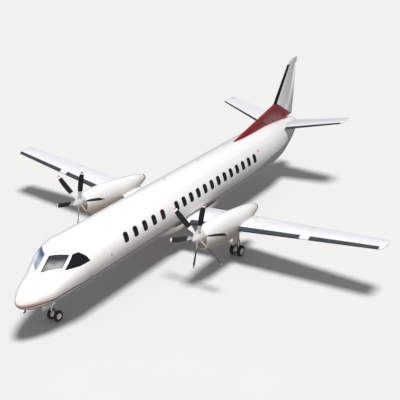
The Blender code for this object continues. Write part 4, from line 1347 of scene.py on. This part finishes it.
def wheel_form(track, width, rim, axle):
    """Two dished rims on one axle."""
    half = track / 2.0
    reach = width * RIM_REACH
    side = [(axle, half - reach), (rim - 0.02, half - reach), (rim - 0.002, half - reach),
            (rim, half - reach + 0.006), (rim, half + reach - 0.006),
            (rim - 0.004, half + reach), (rim - 0.016, half + reach),
            (rim - 0.024, half + reach - 0.02), (rim - 0.034, half + reach * 0.30),
            (rim * 0.62, half + reach * 0.10), (rim * 0.52, half + reach * 0.22),
            (rim * 0.36, half + reach * 0.30), (rim * 0.33, half + reach * 0.72),
            (rim * 0.29, half + reach * 0.80), (0.0, half + reach * 0.80)]
    return [(r, -a) for r, a in side[::-1]] + side


def make_wheels(name, x, y, size):
    """Two tyres on their rims, with bolts, as one body on its axle."""
    radius, width, rim, track, axle = size
    place = along_x(x, y, radius)
    studs = []
    holes = []
    for face in (1, -1):
        outside = face * (track / 2.0 + width * RIM_REACH * 0.16)
        for at in ringed(BOLT_COUNT, rim * 0.57):
            studs.append(bar((*at, outside), (*at, outside + face * 0.012), 0.009, 6))
        for at in ringed(RIM_HOLES, rim * 0.755, 0.5):
            holes.append(bar((*at, outside - face * 0.06), (*at, outside + face * 0.08),
                             rim * 0.075, 20))
    rims = carved(turned(wheel_form(track, width, rim, axle), 72, place),
                  placed(joined(*holes), place))
    piece(f"{name}_rims", rims, "rim_paint", name, body=name)
    piece(f"{name}_bolts", placed(joined(*studs), place), "fitting_steel", body=name)
    for part, offset in (("a", track / 2.0), ("b", -track / 2.0)):
        tyre = turned(tyre_form(radius, width, rim), 96, along_x(x + offset, y, radius))
        piece(f"{name}_tyre_{part}_tread", tyre, "tyre_rubber", f"{name}_tyre_{part}", body=name)


def link_plate(near, far, near_half, far_half, thick):
    """A tapering flat link between two pins that lie along X."""
    return hull(crossbar(*near, near_half, thick, 20), crossbar(*far, far_half, thick, 20))


def make_main_gear():
    x, y, axle = NACELLE_X, MAIN_AXLE_Y, MAIN_WHEEL[0]
    casing = turned(((0.0, 1.797), (0.085, 1.797), (0.085, 1.06), (0.092, 1.05), (0.092, 0.97),
                     (0.085, 0.95), (0.0, 0.95)), 32, Matrix.Translation((x, y, 0.0)))
    collar = bar((x, y, 1.30), (x, y, 1.38), 0.10, 32, bevel=0.008)
    brace = bar((x, y - 0.02, 1.02), (x, y - 0.95, 1.74), 0.038, 20)
    eyes = [crossbar(x, y - 0.06, 1.05, 0.07, 0.045, bevel=0.005),
            crossbar(x, y - 0.93, 1.73, 0.09, 0.05, bevel=0.005),
            crossbar(x, y, 1.70, 0.16, 0.05, bevel=0.006)]
    pair("main_leg_{}_casing", joined(casing, collar, brace, *eyes), "leg_paint", "main_leg_{}")
    pair("main_leg_{}_slider", bar((x, y, axle + 0.05), (x, y, 0.96), 0.055, 32),
         "slider_chrome")
    hub = carved(crossbar(x, y, axle, 0.08, 0.08, 32, 0.008),
                 crossbar(x, y, axle, 0.2, 0.047, 32))
    upper = link_plate((x, y + 0.11, 0.98), (x, y + 0.27, 0.74), 0.07, 0.035, 0.016)
    lower = link_plate((x, y + 0.10, 0.46), (x, y + 0.27, 0.73), 0.07, 0.035, 0.016)
    knuckle = crossbar(x, y + 0.27, 0.735, 0.05, 0.024, 20, 0.003)
    lugs = [brick((x - 0.06, y + 0.05, z - 0.02), (x + 0.06, y + 0.12, z + 0.02), 0.006)
            for z in (0.98, 0.46)]
    pair("main_leg_{}_links", joined(hub, upper, lower, knuckle, *lugs), "leg_paint")
    lines = pipe([(x + 0.07, y + 0.06, 1.78), (x + 0.095, y + 0.05, 1.30),
                  (x + 0.10, y + 0.06, 0.98), (x + 0.09, y + 0.13, 0.72),
                  (x + 0.07, y + 0.09, 0.50), (x + 0.075, y + 0.04, 0.43)], 0.009)
    pair("main_leg_{}_pipes", lines, "dark_metal")
    for part, offset in (("outer", 0.335), ("inner", -0.335)):
        door = "main_door_" + part + "_{}"
        pair(door + "_panel", gear_door_form(x + offset, -1.82, -1.15, 1.10, 1.78),
             "nacelle_paint", door)
    pair("main_bay_{}_liner", bay_liner((x - 0.30, -1.85, 1.45), (x + 0.30, -0.32, 1.80)),
         "bay_paint")


GEAR_DOOR_HALF = 0.01
GEAR_DOOR_CORNER = 0.07


def gear_door_form(x, y_low, y_high, z_low, z_high):
    """A door panel with round corners and eased edges."""
    return side_plate(1, (y_low + y_high) / 2.0, (z_low + z_high) / 2.0, y_high - y_low,
                      z_high - z_low, GEAR_DOOR_CORNER, x - GEAR_DOOR_HALF,
                      x + GEAR_DOOR_HALF, 0.005)


RIB_PITCH = 0.22


def bay_liner(low, high):
    """Ribs and pipes under the roof of a wheel bay."""
    parts = []
    for i in range(int((high[1] - low[1]) / RIB_PITCH)):
        y = low[1] + RIB_PITCH / 2.0 + i * RIB_PITCH
        for x in (low[0], high[0] - 0.02):
            parts.append(brick((x, y, low[2]), (x + 0.02, y + 0.018, high[2] - 0.001), 0.003))
    for x in (low[0] + 0.035, high[0] - 0.05):
        parts.append(bar((x, low[1] + 0.02, high[2] - 0.08), (x, high[1] - 0.02, high[2] - 0.08),
                         0.010, 12))
    return joined(*parts)


LAMP_X = (-0.14, 0.14)
LAMP_Z = 1.33
LAMP_CASE = ((0.0, 0.07), (0.03, 0.065), (0.055, 0.03), (0.060, 0.0), (0.052, -0.004),
             (0.0, -0.004))


def make_nose_gear():
    y, axle = NOSE_AXLE_Y, NOSE_WHEEL[0]
    place = Matrix.Translation((0.0, y, 0.0))
    leg = turned(((0.0, 1.857), (0.075, 1.857), (0.075, 1.12), (0.082, 1.11), (0.082, 1.03),
                  (0.075, 1.022), (0.0, 1.022)), 32, place)
    brace = bar((0, y, 1.15), (0, y - 0.70, 1.80), 0.034, 20)
    eyes = [crossbar(0, y - 0.05, 1.19, 0.06, 0.04, bevel=0.004),
            crossbar(0, y - 0.67, 1.775, 0.08, 0.045, bevel=0.004)]
    piece("nose_leg_casing", joined(leg, brace, *eyes), "leg_paint", "nose_leg")
    cuff = turned(((0.0, 1.018), (0.080, 1.018), (0.084, 1.008), (0.084, 0.90), (0.07, 0.88),
                   (0.0, 0.88)), 32, place)
    hub = carved(crossbar(0, y, axle, 0.075, 0.06, 32, 0.006),
                 crossbar(0, y, axle, 0.2, 0.032, 32))
    upper = link_plate((0, y - 0.10, 0.90), (0, y - 0.22, 0.66), 0.05, 0.026, 0.013)
    lower = link_plate((0, y - 0.075, 0.37), (0, y - 0.22, 0.65), 0.05, 0.026, 0.013)
    knuckle = crossbar(0, y - 0.22, 0.655, 0.04, 0.02, 20, 0.003)
    lugs = [brick((-0.045, y - 0.11, z - 0.018), (0.045, y - 0.04, z + 0.018), 0.005)
            for z in (0.90, 0.37)]
    piece("nose_fork_casing", joined(cuff, hub, upper, lower, knuckle, *lugs), "leg_paint",
          "nose_fork", body="nose_steering")
    piece("nose_fork_slider", bar((0, y, axle + 0.04), (0, y, 0.89), 0.045, 32),
          "slider_chrome", body="nose_steering")
    lamps = [turned(LAMP_CASE, 32, along_y(x, y - 0.17, LAMP_Z)) for x in LAMP_X]
    rail = crossbar(0.0, y - 0.10, LAMP_Z, LAMP_X[1], 0.012, 16)
    rest = bar((0, y - 0.10, LAMP_Z), (0, y, LAMP_Z), 0.014, 16)
    piece("taxi_lamp_cases", joined(*lamps, rail, rest), "leg_paint")
    lenses = [bar((x, y - 0.180, LAMP_Z), (x, y - 0.174, LAMP_Z), 0.050, 32) for x in LAMP_X]
    piece("taxi_lamp_glasses", joined(*lenses), "clear_lamp")
    pair("nose_door_{}_panel", gear_door_form(0.265, -12.35, -11.70, 1.08, 1.60),
         "fuselage_paint", "nose_door_{}")
    piece("nose_bay_liner", bay_liner((-0.24, -12.44, 1.43), (0.24, -11.13, 1.86)), "bay_paint")


# Small fittings

ANTENNAS = (("antenna_front", -2.10), ("antenna_rear", 1.30))
# y, z of the air data probes on each side of the nose
PROBES = ((-10.24, 2.13), (-10.05, 2.30))
TIP_LENS = ((0.0, 0.05), (0.02, 0.04), (0.03, 0.0), (0.02, -0.04), (0.0, -0.05))
WIPER = ((0.22, -12.30, 2.94), (0.30, -12.06, 3.085), (0.36, -11.80, 3.29))
WICK_SPANS = (8.6, 9.4, 10.2, 11.0, 11.7)


def make_fittings():
    for name, y in ANTENNAS:
        places = [wing_place(4.00, 0.09, y - 0.16, y + 0.16, FIN_PLACE),
                  wing_place(4.21, 0.10, y - 0.02, y + 0.165, FIN_PLACE),
                  wing_place(4.245, 0.08, y + 0.015, y + 0.165, FIN_PLACE)]
        piece(name + "_blade", lofted(aerofoil(32), places), "fuselage_paint", name)
    probes = []
    for _, side in SIDES:
        for y, z in PROBES:
            x = math.sqrt(CABIN_RADIUS ** 2 - (z - CABIN_Z) ** 2) - 0.01
            stem = bar((x, y, z), (x + 0.07, y - 0.03, z - 0.01), 0.012, 12, 0.008)
            tube = bar((x + 0.07, y + 0.02, z - 0.01), (x + 0.07, y - 0.16, z - 0.01), 0.010, 12,
                       0.006)
            probes.append(sided(joined(stem, tube), side))
    piece("air_data_probes", joined(*probes), "fitting_steel")
    mast = bar((0.14, -13.30, 1.67), (0.14, -13.33, 1.52), 0.034, 20, 0.028)
    tip = bar((0.14, -13.27, 1.52), (0.14, -13.43, 1.52), 0.034, 20, 0.022)
    piece("ice_probe", joined(mast, tip), "dark_metal")
    for (side_name, side), colour in zip(SIDES, ("red", "green")):
        lens = hull(turned(TIP_LENS, 16, along_y(12.335, -0.66, 2.82)))
        piece(f"tip_lamp_{side_name}", sided(lens, side), colour + "_lamp")
    handle = side_plate(1, -8.50, 2.72, 0.05, 0.16, 0.02, 1.39, 1.408)
    piece("passenger_door_handle", handle, "fitting_steel")
    piece("wipers", joined(*(sided(pipe(WIPER, 0.008, 8), side) for _, side in SIDES)),
          "dark_metal")
    # static wicks on the trailing edges
    wicks = []
    for span in WICK_SPANS:
        at = WING_PLACE @ Vector((span, edge_at(TRAILING_EDGE, span), 0.0))
        wicks.append(bar(at, at + Vector((0.0, 0.11, -0.01)), 0.004, 8, 0.002))
    pair("aileron_wicks_{}", joined(*wicks), "dark_metal", body="aileron_{}")


def main():
    make_finishes()
    make_fuselage()
    make_wings()
    make_tail()
    make_nacelles()
    make_propellers()
    for side_name, side in SIDES:
        make_wheels(f"main_wheels_{side_name}", side * NACELLE_X, MAIN_AXLE_Y, MAIN_WHEEL)
        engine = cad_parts[f"engine_{side_name}"].data
        engine.materials.clear()
        engine.materials.append(FINISHES["engine_casing"].material)
    make_main_gear()
    make_wheels("nose_wheels", 0.0, NOSE_AXLE_Y, NOSE_WHEEL)
    make_nose_gear()
    make_fittings()
    set_the_scene()


main()
